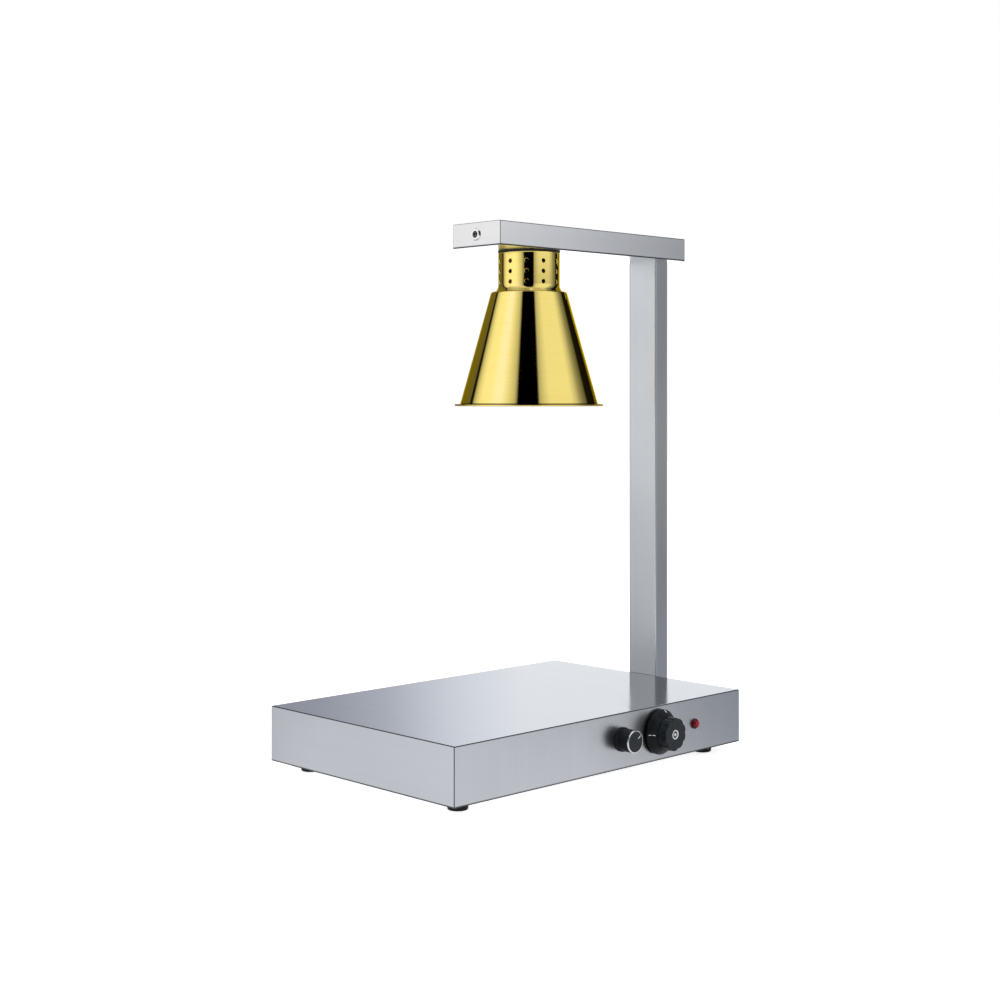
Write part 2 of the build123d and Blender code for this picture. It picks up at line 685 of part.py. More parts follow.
def insulation_tray():
    """Folded pan that hangs under the heater by its flanges."""
    wall_x = (TRAY_LEFT + TRAY_FLANGE, TRAY_RIGHT - TRAY_FLANGE)
    wall_y = (TRAY_FRONT + TRAY_FLANGE, TRAY_REAR - TRAY_FLANGE)
    floor = TOP_INSIDE - TRAY_DEPTH
    flange_level = TOP_INSIDE - TRAY_SHEET
    tray = block((TRAY_LEFT, TRAY_RIGHT), (TRAY_FRONT, TRAY_REAR), (flange_level, TOP_INSIDE))
    tray += block(wall_x, wall_y, (floor, TOP_INSIDE))
    tray -= block(
        (wall_x[0] + TRAY_SHEET, wall_x[1] - TRAY_SHEET),
        (wall_y[0] + TRAY_SHEET, wall_y[1] - TRAY_SHEET),
        (floor + TRAY_SHEET, TOP_INSIDE),
    )
    for x, y in TRAY_STUD_SPOTS:
        tray -= rod(STUD_RADIUS + SCREW_CLEARANCE, (x, y, flange_level), (x, y, TOP_INSIDE))
    for y in (element_rows()[0], element_rows()[-1]):
        lead_hole = LEAD_RADIUS + TRAY_SHEET
        tray -= rod(lead_hole, (wall_x[1] - TRAY_SHEET, y, ELEMENT_Z), (wall_x[1], y, ELEMENT_Z))
    capillary_x = THERMOSTAT_X + CAPILLARY_SIDE
    hole = (CAPILLARY_RADIUS + TRAY_SHEET, (capillary_x, wall_y[0], sensor_level()))
    tray -= rod(*hole, (capillary_x, wall_y[0] + TRAY_SHEET, sensor_level()))
    return tray


def insulation_blanket():
    """Soft mineral-wool slab that fills the tray up to the clamp studs."""
    inset = TRAY_FLANGE + TRAY_SHEET + BLANKET_GAP
    slab = block(
        (TRAY_LEFT + inset, TRAY_RIGHT - inset),
        (TRAY_FRONT + inset, TRAY_REAR - inset),
        (TOP_INSIDE - TRAY_DEPTH + TRAY_SHEET, CLAMP_STUD_TIP),
    )
    return fillet(slab.edges().filter_by(Axis.Z), BLANKET_EDGE)


def thermostat_body():
    """Switch housing behind the panel with a bush round its spindle and tabs at its back."""
    half = THERMOSTAT_WIDTH / 2
    back = PANEL_INSIDE + THERMOSTAT_DEPTH
    heights = (CONTROL_Z - THERMOSTAT_HEIGHT / 2, CONTROL_Z + THERMOSTAT_HEIGHT / 2)
    body = block((THERMOSTAT_X - half, THERMOSTAT_X + half), (PANEL_INSIDE, back), heights)
    body = chamfer(body.edges().filter_by(Axis.Y), BODY_CHAMFER)
    bush_tip = PANEL_FACE - THERMOSTAT_BUSH_PROUD
    centre = (THERMOSTAT_X, bush_tip, CONTROL_Z)
    body += rod(THERMOSTAT_BUSH_RADIUS, centre, (THERMOSTAT_X, PANEL_INSIDE, CONTROL_Z))
    bore = SPINDLE_RADIUS + RUN_CLEARANCE
    body -= rod(bore, centre, (THERMOSTAT_X, PANEL_INSIDE + SPINDLE_DEPTH, CONTROL_Z))
    for side in (-1, 1):
        x = THERMOSTAT_X + side * THERMOSTAT_SCREW_PITCH / 2
        mouth = (x, PANEL_INSIDE, CONTROL_Z)
        tapped = SMALL_RADIUS + THREAD_CLEARANCE
        body -= rod(tapped, mouth, (x, PANEL_INSIDE + CONTROL_SCREW_LENGTH, CONTROL_Z))
    for side in (-1, 1):
        body += tab(THERMOSTAT_X, back, CONTROL_Z + side * TAB_PITCH)
    return body


def tab(x, y, z):
    """Push-on terminal tab that points backwards from a housing."""
    return block(
        (x - TAB_WIDTH / 2, x + TAB_WIDTH / 2),
        (y, y + TAB_LENGTH),
        (z - TAB_THICKNESS / 2, z + TAB_THICKNESS / 2),
    )


def spindle(x, tail, tip, flat_length):
    """Control spindle from inside its housing to inside its knob, with a flat on the knob's end."""
    bar = rod(SPINDLE_RADIUS, (x, tail, CONTROL_Z), (x, tip, CONTROL_Z))
    flat_z = CONTROL_Z + SPINDLE_RADIUS - SPINDLE_FLAT
    bar -= block(
        (x - SPINDLE_RADIUS, x + SPINDLE_RADIUS),
        (tip, tip + flat_length),
        (flat_z, CONTROL_Z + SPINDLE_RADIUS),
    )
    return bar


def spindle_socket(depth):
    """D-shaped hole in a knob for its spindle, from the knob's back face up to depth."""
    radius = SPINDLE_RADIUS + KNOB_FIT
    flat = SPINDLE_RADIUS - SPINDLE_FLAT + KNOB_FIT
    hole = Cylinder(radius, depth, align=LOW)
    return hole - block((-radius, radius), (flat, radius), (0, depth))


DIAL_HEIGHT = DIAL_REACH - DIAL_GAP
DIAL_SOCKET = DIAL_HEIGHT - KNOB_FRONT_WALL


def thermostat_knob():
    """Bevelled skirt, a groove and a scalloped grip, hollow behind with a hub for the spindle."""
    groove = DIAL_BEVEL_HEIGHT + DIAL_GROOVE_WIDTH
    skirt = turned(
        (0, 0),
        (DIAL_RIM_RADIUS, 0),
        (DIAL_RIM_RADIUS, DIAL_RIM_HEIGHT),
        (DIAL_BEVEL_RADIUS, DIAL_BEVEL_HEIGHT),
        (GRIP_RADIUS - DIAL_GROOVE_DEPTH, DIAL_BEVEL_HEIGHT),
        (GRIP_RADIUS - DIAL_GROOVE_DEPTH, groove),
        (0, groove),
    )
    scallop_place = GRIP_RADIUS + GRIP_SCALLOP_RADIUS - GRIP_SCALLOP_DEPTH
    outline = Circle(GRIP_RADIUS) - PolarLocations(scallop_place, GRIP_LOBES) * Circle(GRIP_SCALLOP_RADIUS)
    grip = extrude(Pos(0, 0, groove) * outline, DIAL_HEIGHT - groove, taper=GRIP_TAPER)
    grip = chamfer(grip.edges().group_by(Axis.Z)[-1], GRIP_EDGE)
    knob = skirt + grip
    hollow = DIAL_RIM_RADIUS - DIAL_WALL
    knob -= turned((0, 0), (hollow, 0), (hollow, HUB_RECESS), (0, HUB_RECESS))
    knob -= turned((HUB_RADIUS, 0), (hollow, 0), (hollow, DIAL_HOLLOW_DEPTH), (HUB_RADIUS, DIAL_HOLLOW_DEPTH))
    knob -= spindle_socket(DIAL_SOCKET)
    pocket = DIAL_CAP_RADIUS + KNOB_FIT
    knob -= Pos(0, 0, DIAL_HEIGHT - DIAL_CAP_THICKNESS) * Cylinder(pocket, DIAL_CAP_THICKNESS, align=LOW)
    rim = pocket + DIAL_CAP_GROOVE
    groove_floor = DIAL_HEIGHT - DIAL_CAP_GROOVE_DEPTH
    knob -= turned((0, DIAL_HEIGHT), (0, groove_floor), (pocket, groove_floor), (rim, DIAL_HEIGHT))
    return panel(THERMOSTAT_X, DIAL_GAP) * knob


def thermostat_knob_cap():
    """Bright disc let into the middle of the grip."""
    cap = Cylinder(DIAL_CAP_RADIUS, DIAL_CAP_THICKNESS, align=LOW)
    return panel(THERMOSTAT_X, DIAL_GAP) * (Pos(0, 0, DIAL_HEIGHT - DIAL_CAP_THICKNESS) * cap)


def dimmer_body():
    """Dimmer housing with a threaded bush through the panel and tabs at its back."""
    half = DIMMER_WIDTH / 2
    back = PANEL_INSIDE + DIMMER_DEPTH
    heights = (CONTROL_Z - DIMMER_HEIGHT / 2, CONTROL_Z + DIMMER_HEIGHT / 2)
    body = block((DIMMER_X - half, DIMMER_X + half), (PANEL_INSIDE, back), heights)
    body = chamfer(body.edges().filter_by(Axis.Y), BODY_CHAMFER)
    bush_tip = (DIMMER_X, PANEL_FACE - BUSH_PROUD, CONTROL_Z)
    body += rod(BUSH_RADIUS, bush_tip, (DIMMER_X, PANEL_INSIDE, CONTROL_Z))
    bore = SPINDLE_RADIUS + RUN_CLEARANCE
    body -= rod(bore, bush_tip, (DIMMER_X, PANEL_INSIDE + SPINDLE_DEPTH, CONTROL_Z))
    for side in (-1, 1):
        body += tab(DIMMER_X, back, CONTROL_Z + side * TAB_PITCH)
    return body


DIMMER_KNOB_HEIGHT = DIMMER_REACH - DIMMER_GAP
DIMMER_HOLLOW_RADIUS = BUSH_NUT_FLATS / sqrt(3) + DIMMER_HOLLOW_ROOM
DIMMER_HOLLOW_DEPTH = BUSH_PROUD - DIMMER_GAP + DIMMER_HOLLOW_ROOM
DIMMER_SOCKET = DIMMER_KNOB_HEIGHT - KNOB_FRONT_WALL


def dimmer_knob():
    """Small flanged knob with a knurled side, a rebate for its bright ring and a pointer groove."""
    rebate = DIMMER_KNOB_HEIGHT - DIMMER_RING_HEIGHT
    face_radius = DIMMER_BODY_RADIUS - DIMMER_RING_WIDTH
    knob = turned(
        (0, 0),
        (DIMMER_FLANGE_RADIUS, 0),
        (DIMMER_FLANGE_RADIUS, DIMMER_FLANGE_HEIGHT - DIMMER_FLANGE_BEVEL),
        (DIMMER_FLANGE_RADIUS - DIMMER_FLANGE_BEVEL, DIMMER_FLANGE_HEIGHT),
        (DIMMER_BODY_RADIUS, DIMMER_FLANGE_HEIGHT),
        (DIMMER_BODY_RADIUS, rebate),
        (face_radius, rebate),
        (face_radius, DIMMER_KNOB_HEIGHT),
        (0, DIMMER_KNOB_HEIGHT),
    )
    notch_corners = [(-KNURL_DEPTH, 0), (KNURL_DEPTH, -KNURL_DEPTH), (KNURL_DEPTH, KNURL_DEPTH)]
    notch = make_face(Polyline(*notch_corners, close=True))
    notches = Sketch() + PolarLocations(DIMMER_BODY_RADIUS, KNURL_COUNT) * notch
    knob -= extrude(Pos(0, 0, DIMMER_FLANGE_HEIGHT) * notches, rebate - DIMMER_FLANGE_HEIGHT)
    knob -= Cylinder(DIMMER_HOLLOW_RADIUS, DIMMER_HOLLOW_DEPTH, align=LOW)
    knob -= spindle_socket(DIMMER_SOCKET)
    pointer_middle = face_radius - POINTER_MARGIN - POINTER_LENGTH / 2
    groove = Box(POINTER_LENGTH, POINTER_WIDTH, 2 * POINTER_DEPTH)
    knob -= Rot(0, 0, 90 - POINTER_ANGLE) * Pos(pointer_middle, 0, DIMMER_KNOB_HEIGHT) * groove
    return panel(DIMMER_X, DIMMER_GAP) * knob


def dimmer_knob_ring():
    """Bright bevelled ring round the face of the dimmer knob."""
    inner = DIMMER_BODY_RADIUS - DIMMER_RING_WIDTH + KNOB_FIT
    low = DIMMER_KNOB_HEIGHT - DIMMER_RING_HEIGHT
    bevel = DIMMER_RING_WIDTH / 2
    ring = turned(
        (inner, low),
        (DIMMER_BODY_RADIUS, low),
        (DIMMER_BODY_RADIUS, DIMMER_KNOB_HEIGHT - bevel),
        (DIMMER_BODY_RADIUS - bevel, DIMMER_KNOB_HEIGHT),
        (inner, DIMMER_KNOB_HEIGHT),
    )
    return panel(DIMMER_X, DIMMER_GAP) * ring


LENS_STEM_RADIUS = INDICATOR_RADIUS - INDICATOR_WALL


def indicator_lens():
    """Red domed lens with a flange against the panel and a stem in the lamp body."""
    flange = Polyline(
        (0, -LENS_STEM_LENGTH),
        (LENS_STEM_RADIUS, -LENS_STEM_LENGTH),
        (LENS_STEM_RADIUS, 0),
        (LENS_FLANGE_RADIUS, 0),
        (LENS_FLANGE_RADIUS, LENS_FLANGE_HEIGHT),
        (LENS_DOME_RADIUS, LENS_FLANGE_HEIGHT),
    )
    dome = dome_arc(LENS_DOME_RADIUS, LENS_FLANGE_HEIGHT, LENS_REACH)
    axis = Line((0, LENS_REACH), (0, -LENS_STEM_LENGTH))
    return panel(INDICATOR_X) * revolve(Plane.XZ * make_face(flange + dome + axis), Axis.Z)


def indicator_body():
    """Lamp tube through the panel, with a pocket for the lens stem and tabs at its back."""
    back = PANEL_FACE + INDICATOR_LENGTH
    front = (INDICATOR_X, PANEL_FACE, CONTROL_Z)
    body = rod(INDICATOR_RADIUS, front, (INDICATOR_X, back, CONTROL_Z))
    pocket = LENS_STEM_RADIUS + KNOB_FIT
    body -= rod(pocket, front, (INDICATOR_X, PANEL_FACE + LENS_STEM_LENGTH, CONTROL_Z))
    for side in (-1, 1):
        body += tab(INDICATOR_X, back, CONTROL_Z + side * INDICATOR_RADIUS / 2)
    return body


def sensor_level():
    """Height of the sensor's axis, just under the heat spreader."""
    return TOP_INSIDE - SPREADER_THICKNESS - SENSOR_GAP - SENSOR_RADIUS


def thermostat_sensor():
    """Sensor rod under the spreader and the capillary from it to the back of the thermostat."""
    y = SENSOR_Y
    z = sensor_level()
    capillary_x = THERMOSTAT_X + CAPILLARY_SIDE
    rod_end = capillary_x - CAPILLARY_STEP
    phial = rod(SENSOR_RADIUS, (rod_end - SENSOR_LENGTH, y, z), (rod_end, y, z))
    back = PANEL_INSIDE + THERMOSTAT_DEPTH
    turn_y = back + CAPILLARY_STEP
    route = [
        (rod_end, y, z),
        (capillary_x, y, z),
        (capillary_x, turn_y, z),
        (capillary_x, turn_y, z - CAPILLARY_DROP),
        (capillary_x, back, z - CAPILLARY_DROP),
    ]
    return phial + cable(route, CAPILLARY_BEND, CAPILLARY_RADIUS)


def sensor_clip(x):
    """Strap over the sensor with two feet against the spreader."""
    level = TOP_INSIDE - SPREADER_THICKNESS
    inner = SENSOR_RADIUS + SENSOR_GAP
    outer = inner + CLIP_SHEET
    strap = Pos(0, -inner) * Circle(outer) + Pos(0, -inner / 2) * Rectangle(2 * outer, inner)
    strap += Pos(0, -CLIP_SHEET / 2) * Rectangle(2 * (outer + CLIP_FOOT), CLIP_SHEET)
    strap -= Pos(0, -inner) * Circle(inner) + Pos(0, -inner / 2) * Rectangle(2 * inner, inner)
    strap -= Pos(0, outer / 2) * Rectangle(2 * outer, outer)
    plane = Plane(origin=(x - CLIP_WIDTH / 2, SENSOR_Y, level), x_dir=BACK, z_dir=RIGHT)
    return plane * extrude(strap, CLIP_WIDTH)


def clip_places():
    """X of each sensor clip, even about the middle of the sensor."""
    middle = THERMOSTAT_X + CAPILLARY_SIDE - CAPILLARY_STEP - SENSOR_LENGTH / 2
    return [middle + (i - (CLIP_COUNT - 1) / 2) * CLIP_PITCH for i in range(CLIP_COUNT)]


def terminal_ways():
    """X of each way of the terminal block."""
    pitch = TERMINAL_LENGTH / TERMINAL_WAYS
    return [TERMINAL_X + (i - (TERMINAL_WAYS - 1) / 2) * pitch for i in range(TERMINAL_WAYS)]


def terminal_block():
    """Moulded block with a row of wire holes in its front and rear faces."""
    half_x = TERMINAL_LENGTH / 2
    half_y = TERMINAL_WIDTH / 2
    body = block(
        (TERMINAL_X - half_x, TERMINAL_X + half_x),
        (TERMINAL_Y - half_y, TERMINAL_Y + half_y),
        (FLANGE_LEVEL, FLANGE_LEVEL + TERMINAL_HEIGHT),
    )
    body = chamfer(body.edges().group_by(Axis.Z)[-1], TERMINAL_CHAMFER)
    z = FLANGE_LEVEL + TERMINAL_HEIGHT / 2
    for x in terminal_ways():
        for side in (-1, 1):
            mouth = (x, TERMINAL_Y + side * half_y, z)
            end = (x, TERMINAL_Y + side * (half_y - TERMINAL_HOLE_DEPTH), z)
            body -= rod(TERMINAL_HOLE_RADIUS, mouth, end)
    for x, y in TERMINAL_SCREW_SPOTS:
        tapped = SMALL_RADIUS + THREAD_CLEARANCE
        body -= rod(tapped, (x, y, FLANGE_LEVEL), (x, y, BASE_BOTTOM + PLATE_SCREW_LENGTH))
    return body


def gland_plane():
    """Plane on the rear wall at the gland: its own Z points out of the wall."""
    return Plane(origin=(GLAND_X, REAR_FACE, GLAND_Z), x_dir=RIGHT, z_dir=BACK)


def gland_body():
    """Threaded sleeve through the rear wall with a hexagon collar against it."""
    bore = SEAL_RADIUS + SEAL_CLEARANCE
    collar = extrude(hexagon(GLAND_FLATS), GLAND_COLLAR)
    neck = Pos(0, 0, GLAND_COLLAR) * Cylinder(GLAND_NECK_RADIUS, GLAND_NECK_LENGTH, align=LOW)
    inside = SHEET + GLAND_INSIDE
    thread = Pos(0, 0, -inside) * Cylinder(GLAND_THREAD_RADIUS, inside, align=LOW)
    hole = Pos(0, 0, -inside) * Cylinder(bore, inside + GLAND_COLLAR + GLAND_NECK_LENGTH, align=LOW)
    return gland_plane() * (collar + neck + thread - hole)


def gland_dome_nut():
    """Cap nut whose rounded mouth closes on the seal."""
    low = GLAND_COLLAR + GLAND_NUT_GAP
    grip = extrude(Pos(0, 0, low) * hexagon(GLAND_FLATS), GLAND_NUT_GRIP)
    dome_low = low + GLAND_NUT_GRIP
    dome = turned(
        (0, dome_low),
        (GLAND_FLATS / 2, dome_low),
        (GLAND_FLATS / 2 - GLAND_NUT_WALL, GLAND_REACH - GLAND_NUT_WALL),
        (GLAND_MOUTH_RADIUS + GLAND_NUT_WALL, GLAND_REACH),
        (0, GLAND_REACH),
    )
    chamber_top = GLAND_REACH - GLAND_NUT_WALL
    chamber = turned(
        (0, low),
        (GLAND_NECK_RADIUS + THREAD_CLEARANCE, low),
        (GLAND_NECK_RADIUS + THREAD_CLEARANCE, chamber_top - GLAND_NUT_WALL),
        (SEAL_RADIUS + SEAL_CLEARANCE, chamber_top),
        (0, chamber_top),
    )
    mouth = Cylinder(GLAND_MOUTH_RADIUS, GLAND_REACH, align=LOW)
    return gland_plane() * (grip + dome - chamber - mouth)


def gland_seal():
    """Rubber sleeve that grips the cord."""
    top = GLAND_REACH - GLAND_NUT_WALL
    sleeve = Cylinder(SEAL_RADIUS, SEAL_LENGTH, align=LOW) - Cylinder(SEAL_BORE, SEAL_LENGTH, align=LOW)
    return gland_plane() * (Pos(0, 0, top - SEAL_LENGTH) * sleeve)


def column_section(inset, corner):
    """Rounded rectangle of the column, drawn in by an inset, in the XY plane at the column's middle."""
    return Pos(COLUMN_X, 0) * RectangleRounded(COLUMN_DEPTH - 2 * inset, COLUMN_WIDTH - 2 * inset, corner)


COLUMN_BOTTOM = BASE_BOTTOM + COLUMN_FOOT_GAP
NUT_PLATE_LEFT = END_FACE + COLUMN_WALL
COLUMN_INNER_CORNER = max(COLUMN_CORNER - COLUMN_WALL, LEAST_CORNER)


def column_tube():
    """Rectangular tube with a welded head plate for the arm and the joint holes to the base."""
    outer = column_section(0, COLUMN_CORNER)
    inner = column_section(COLUMN_WALL, COLUMN_INNER_CORNER)
    tube = extrude(Pos(0, 0, COLUMN_BOTTOM) * (outer - inner), ARM_BOTTOM - COLUMN_BOTTOM)
    head_low = ARM_BOTTOM - COLUMN_HEAD
    tube += extrude(Pos(0, 0, head_low) * inner, COLUMN_HEAD)
    tube -= rod(CABLE_HOLE_RADIUS, (COLUMN_X, 0, head_low), (COLUMN_X, 0, ARM_BOTTOM))
    for x, y in ARM_SCREW_SPOTS:
        tube -= rod(LARGE_RADIUS + THREAD_CLEARANCE, (x, y, head_low), (x, y, ARM_BOTTOM))
    return tube - column_joint_holes(END_FACE, END_FACE + COLUMN_WALL)


def column_plug():
    """Moulded plug that closes the lower end of the column, with its sleeve cut away at the nut plate."""
    flange = extrude(Pos(0, 0, COLUMN_BOTTOM - PLUG_FLANGE) * column_section(0, COLUMN_CORNER), PLUG_FLANGE)
    inset = COLUMN_WALL + PLUG_CLEARANCE
    sleeve = column_section(inset, COLUMN_INNER_CORNER)
    sleeve -= column_section(inset + PLUG_WALL, COLUMN_INNER_CORNER)
    nut_plate_side = NUT_PLATE_THICKNESS + NUT_PLATE_CLEARANCE
    sleeve -= Pos(NUT_PLATE_LEFT + nut_plate_side / 2, 0) * Rectangle(nut_plate_side, COLUMN_WIDTH)
    return flange + extrude(Pos(0, 0, COLUMN_BOTTOM) * sleeve, PLUG_DEPTH)


def joint_plate(start, thickness, width, height, corner):
    """Upright plate at the joint between base and column, from its left-hand face."""
    plane = Plane(origin=(start, 0, JOINT_Z), x_dir=BACK, z_dir=RIGHT)
    return plane * extrude(RectangleRounded(width, height, corner), thickness)


BACKING_LEFT = END_FACE - SHEET - BACKING_THICKNESS
BACKING_WIDTH = BOLT_PITCH_Y + 2 * BACKING_EDGE
BACKING_HEIGHT = BOLT_PITCH_Z + 2 * BACKING_EDGE


def column_backing_plate():
    """Plate inside the base that spreads the load of the column bolts."""
    plate = joint_plate(BACKING_LEFT, BACKING_THICKNESS, BACKING_WIDTH, BACKING_HEIGHT, BACKING_CORNER)
    return plate - column_joint_holes(BACKING_LEFT, BACKING_LEFT + BACKING_THICKNESS)


def column_nut_plate():
    """Tapped plate inside the column that the bolts pull against."""
    width = COLUMN_WIDTH - 2 * (COLUMN_WALL + COLUMN_INNER_CORNER + NUT_PLATE_CLEARANCE)
    plate = joint_plate(NUT_PLATE_LEFT, NUT_PLATE_THICKNESS, width, BACKING_HEIGHT, BACKING_CORNER)
    right = NUT_PLATE_LEFT + NUT_PLATE_THICKNESS
    grommet_room = GROMMET_RADIUS + GROMMET_FLANGE + GROMMET_CLEARANCE
    plate -= rod(grommet_room, (NUT_PLATE_LEFT, 0, JOINT_Z), (right, 0, JOINT_Z))
    for y, z in COLUMN_BOLT_SPOTS:
        plate -= rod(BOLT_RADIUS + THREAD_CLEARANCE, (NUT_PLATE_LEFT, y, z), (right, y, z))
    return plate


def column_bolt(y, z):
    """Hexagon bolt from inside the base into the nut plate."""
    tip = NUT_PLATE_LEFT + NUT_PLATE_THICKNESS + SCREW_PROUD
    plane = Plane(origin=(BACKING_LEFT - BOLT_HEAD_HEIGHT, y, z), z_dir=RIGHT)
    head = plane * extrude(hexagon(BOLT_HEAD_FLATS), BOLT_HEAD_HEIGHT)
    return head + rod(BOLT_RADIUS, (BACKING_LEFT, y, z), (tip, y, z))


def cable_grommet():
    """Rubber bush with a flange on each side of the joint's walls."""
    left = BACKING_LEFT - GROMMET_FLANGE_HEIGHT
    right = NUT_PLATE_LEFT + GROMMET_FLANGE_HEIGHT
    flange = GROMMET_RADIUS + GROMMET_FLANGE
    bush = turned(
        (GROMMET_BORE, left),
        (flange, left),
        (flange, BACKING_LEFT),
        (GROMMET_RADIUS, BACKING_LEFT),
        (GROMMET_RADIUS, NUT_PLATE_LEFT),
        (flange, NUT_PLATE_LEFT),
        (flange, right),
        (GROMMET_BORE, right),
    )
    return Plane(origin=(0, 0, JOINT_Z), z_dir=RIGHT) * bush


def arm_plane(x):
    """Plane across the arm at an X, with its own Z along the arm and its own Y up."""
    return Plane(origin=(x, 0, ARM_MIDDLE), x_dir=BACK, z_dir=RIGHT)


ARM_TUBE_FRONT = ARM_FRONT + END_CAP_THICKNESS
ARM_INNER_CORNER = max(ARM_CORNER - ARM_SHEET, LEAST_CORNER)


def arm_tube():
    """Folded box arm with its rear end welded shut and a bracket for the end-cap screw inside its front."""
    outline = RectangleRounded(ARM_WIDTH, ARM_HEIGHT, ARM_CORNER)
    hollow = RectangleRounded(ARM_WIDTH - 2 * ARM_SHEET, ARM_HEIGHT - 2 * ARM_SHEET, ARM_INNER_CORNER)
    tube = arm_plane(ARM_TUBE_FRONT) * extrude(outline - hollow, ARM_BACK - ARM_TUBE_FRONT)
    tube += arm_plane(ARM_BACK - ARM_SHEET) * extrude(hollow, ARM_SHEET)
    bracket_x = ARM_TUBE_FRONT + BRACKET_SETBACK
    inner_height = ARM_HEIGHT - 2 * ARM_SHEET
    tube += arm_plane(bracket_x) * extrude(Rectangle(BRACKET_WIDTH, inner_height), BRACKET_SHEET)
    boss_tip = (bracket_x - BRACKET_BOSS_LENGTH, 0, ARM_MIDDLE)
    tube += rod(BRACKET_BOSS_RADIUS, boss_tip, (bracket_x, 0, ARM_MIDDLE))
    tapped = LARGE_RADIUS + THREAD_CLEARANCE
    tube -= rod(tapped, boss_tip, (bracket_x + BRACKET_SHEET, 0, ARM_MIDDLE))
    floor = ARM_BOTTOM + ARM_SHEET
    floor_holes = [(x, y, LARGE_RADIUS + SCREW_CLEARANCE) for x, y in ARM_SCREW_SPOTS]
    floor_holes.append((COLUMN_X, 0, CABLE_HOLE_RADIUS))
    floor_holes.append((LAMP_X, 0, NIPPLE_RADIUS + SCREW_CLEARANCE))
    for x, y, radius in floor_holes:
        tube -= rod(radius, (x, y, ARM_BOTTOM), (x, y, floor))
    return tube


def arm_end_cap():
    """Flat cap with eased edges on the front of the arm, with a lip at top and bottom inside the tube."""
    outline = RectangleRounded(ARM_WIDTH, ARM_HEIGHT, ARM_CORNER)
    cap = extrude(outline, END_CAP_THICKNESS)
    cap = arm_plane(ARM_FRONT) * fillet(cap.edges().group_by(Axis.Z)[0], END_CAP_EDGE)
    lip_place = ARM_HEIGHT / 2 - ARM_SHEET - END_CAP_CLEARANCE - END_CAP_THICKNESS / 2
    for side in (-1, 1):
        lip = Pos(0, side * lip_place) * Rectangle(END_CAP_LIP_WIDTH, END_CAP_THICKNESS)
        cap += arm_plane(ARM_TUBE_FRONT) * extrude(lip, END_CAP_LIP)
    hole = LARGE_RADIUS + SCREW_CLEARANCE
    return cap - rod(hole, (ARM_FRONT, 0, ARM_MIDDLE), (ARM_TUBE_FRONT, 0, ARM_MIDDLE))


def end_cap_washer():
    """Dished cup washer under the end-cap screw."""
    hole = LARGE_RADIUS + SCREW_CLEARANCE
    cup = turned(
        (hole, 0),
        (CUP_RADIUS, 0),
        (CUP_RADIUS, CUP_WALL),
        (CUP_RIM_RADIUS, CUP_HEIGHT),
        (CAP_SCREW_HEAD_RADIUS + SCREW_CLEARANCE, CUP_HEIGHT),
        (CAP_SCREW_HEAD_RADIUS + SCREW_CLEARANCE, CUP_WALL),
        (hole, CUP_WALL),
    )
    return Plane(origin=(ARM_FRONT, 0, ARM_MIDDLE), z_dir=(-1, 0, 0)) * cup


def end_cap_screw():
    """Button-head screw with a hexagon socket, through washer and cap into the bracket."""
    head = CAP_SCREW_HEAD_HEIGHT
    body = turned(
        (0, -CAP_SCREW_LENGTH),
        (LARGE_RADIUS, -CAP_SCREW_LENGTH),
        (LARGE_RADIUS, 0),
        (CAP_SCREW_HEAD_RADIUS, 0),
        (CAP_SCREW_HEAD_RADIUS, head / 3),
        (CAP_SCREW_HEAD_RADIUS - head / 2, head),
        (0, head),
    )
    socket_floor = head - CAP_SCREW_SOCKET_DEPTH
    body -= extrude(Pos(0, 0, socket_floor) * hexagon(CAP_SCREW_SOCKET), CAP_SCREW_SOCKET_DEPTH)
    return Plane(origin=(ARM_FRONT - CUP_WALL, 0, ARM_MIDDLE), z_dir=(-1, 0, 0)) * body


def lamp(solid):
    """Stand a solid made on the Z axis at the lamp."""
    return Pos(LAMP_X, 0, 0) * solid


def lamp_mount_ring():
    """Black spacer between arm and collar."""
    hole = NIPPLE_RADIUS + SCREW_CLEARANCE
    edge = COLLAR_RADIUS + RING_OVERHANG
    return lamp(turned(
        (hole, COLLAR_TOP),
        (edge - RING_EDGE, COLLAR_TOP),
        (edge, COLLAR_TOP + RING_EDGE),
        (edge, ARM_BOTTOM),
        (hole, ARM_BOTTOM),
    ))


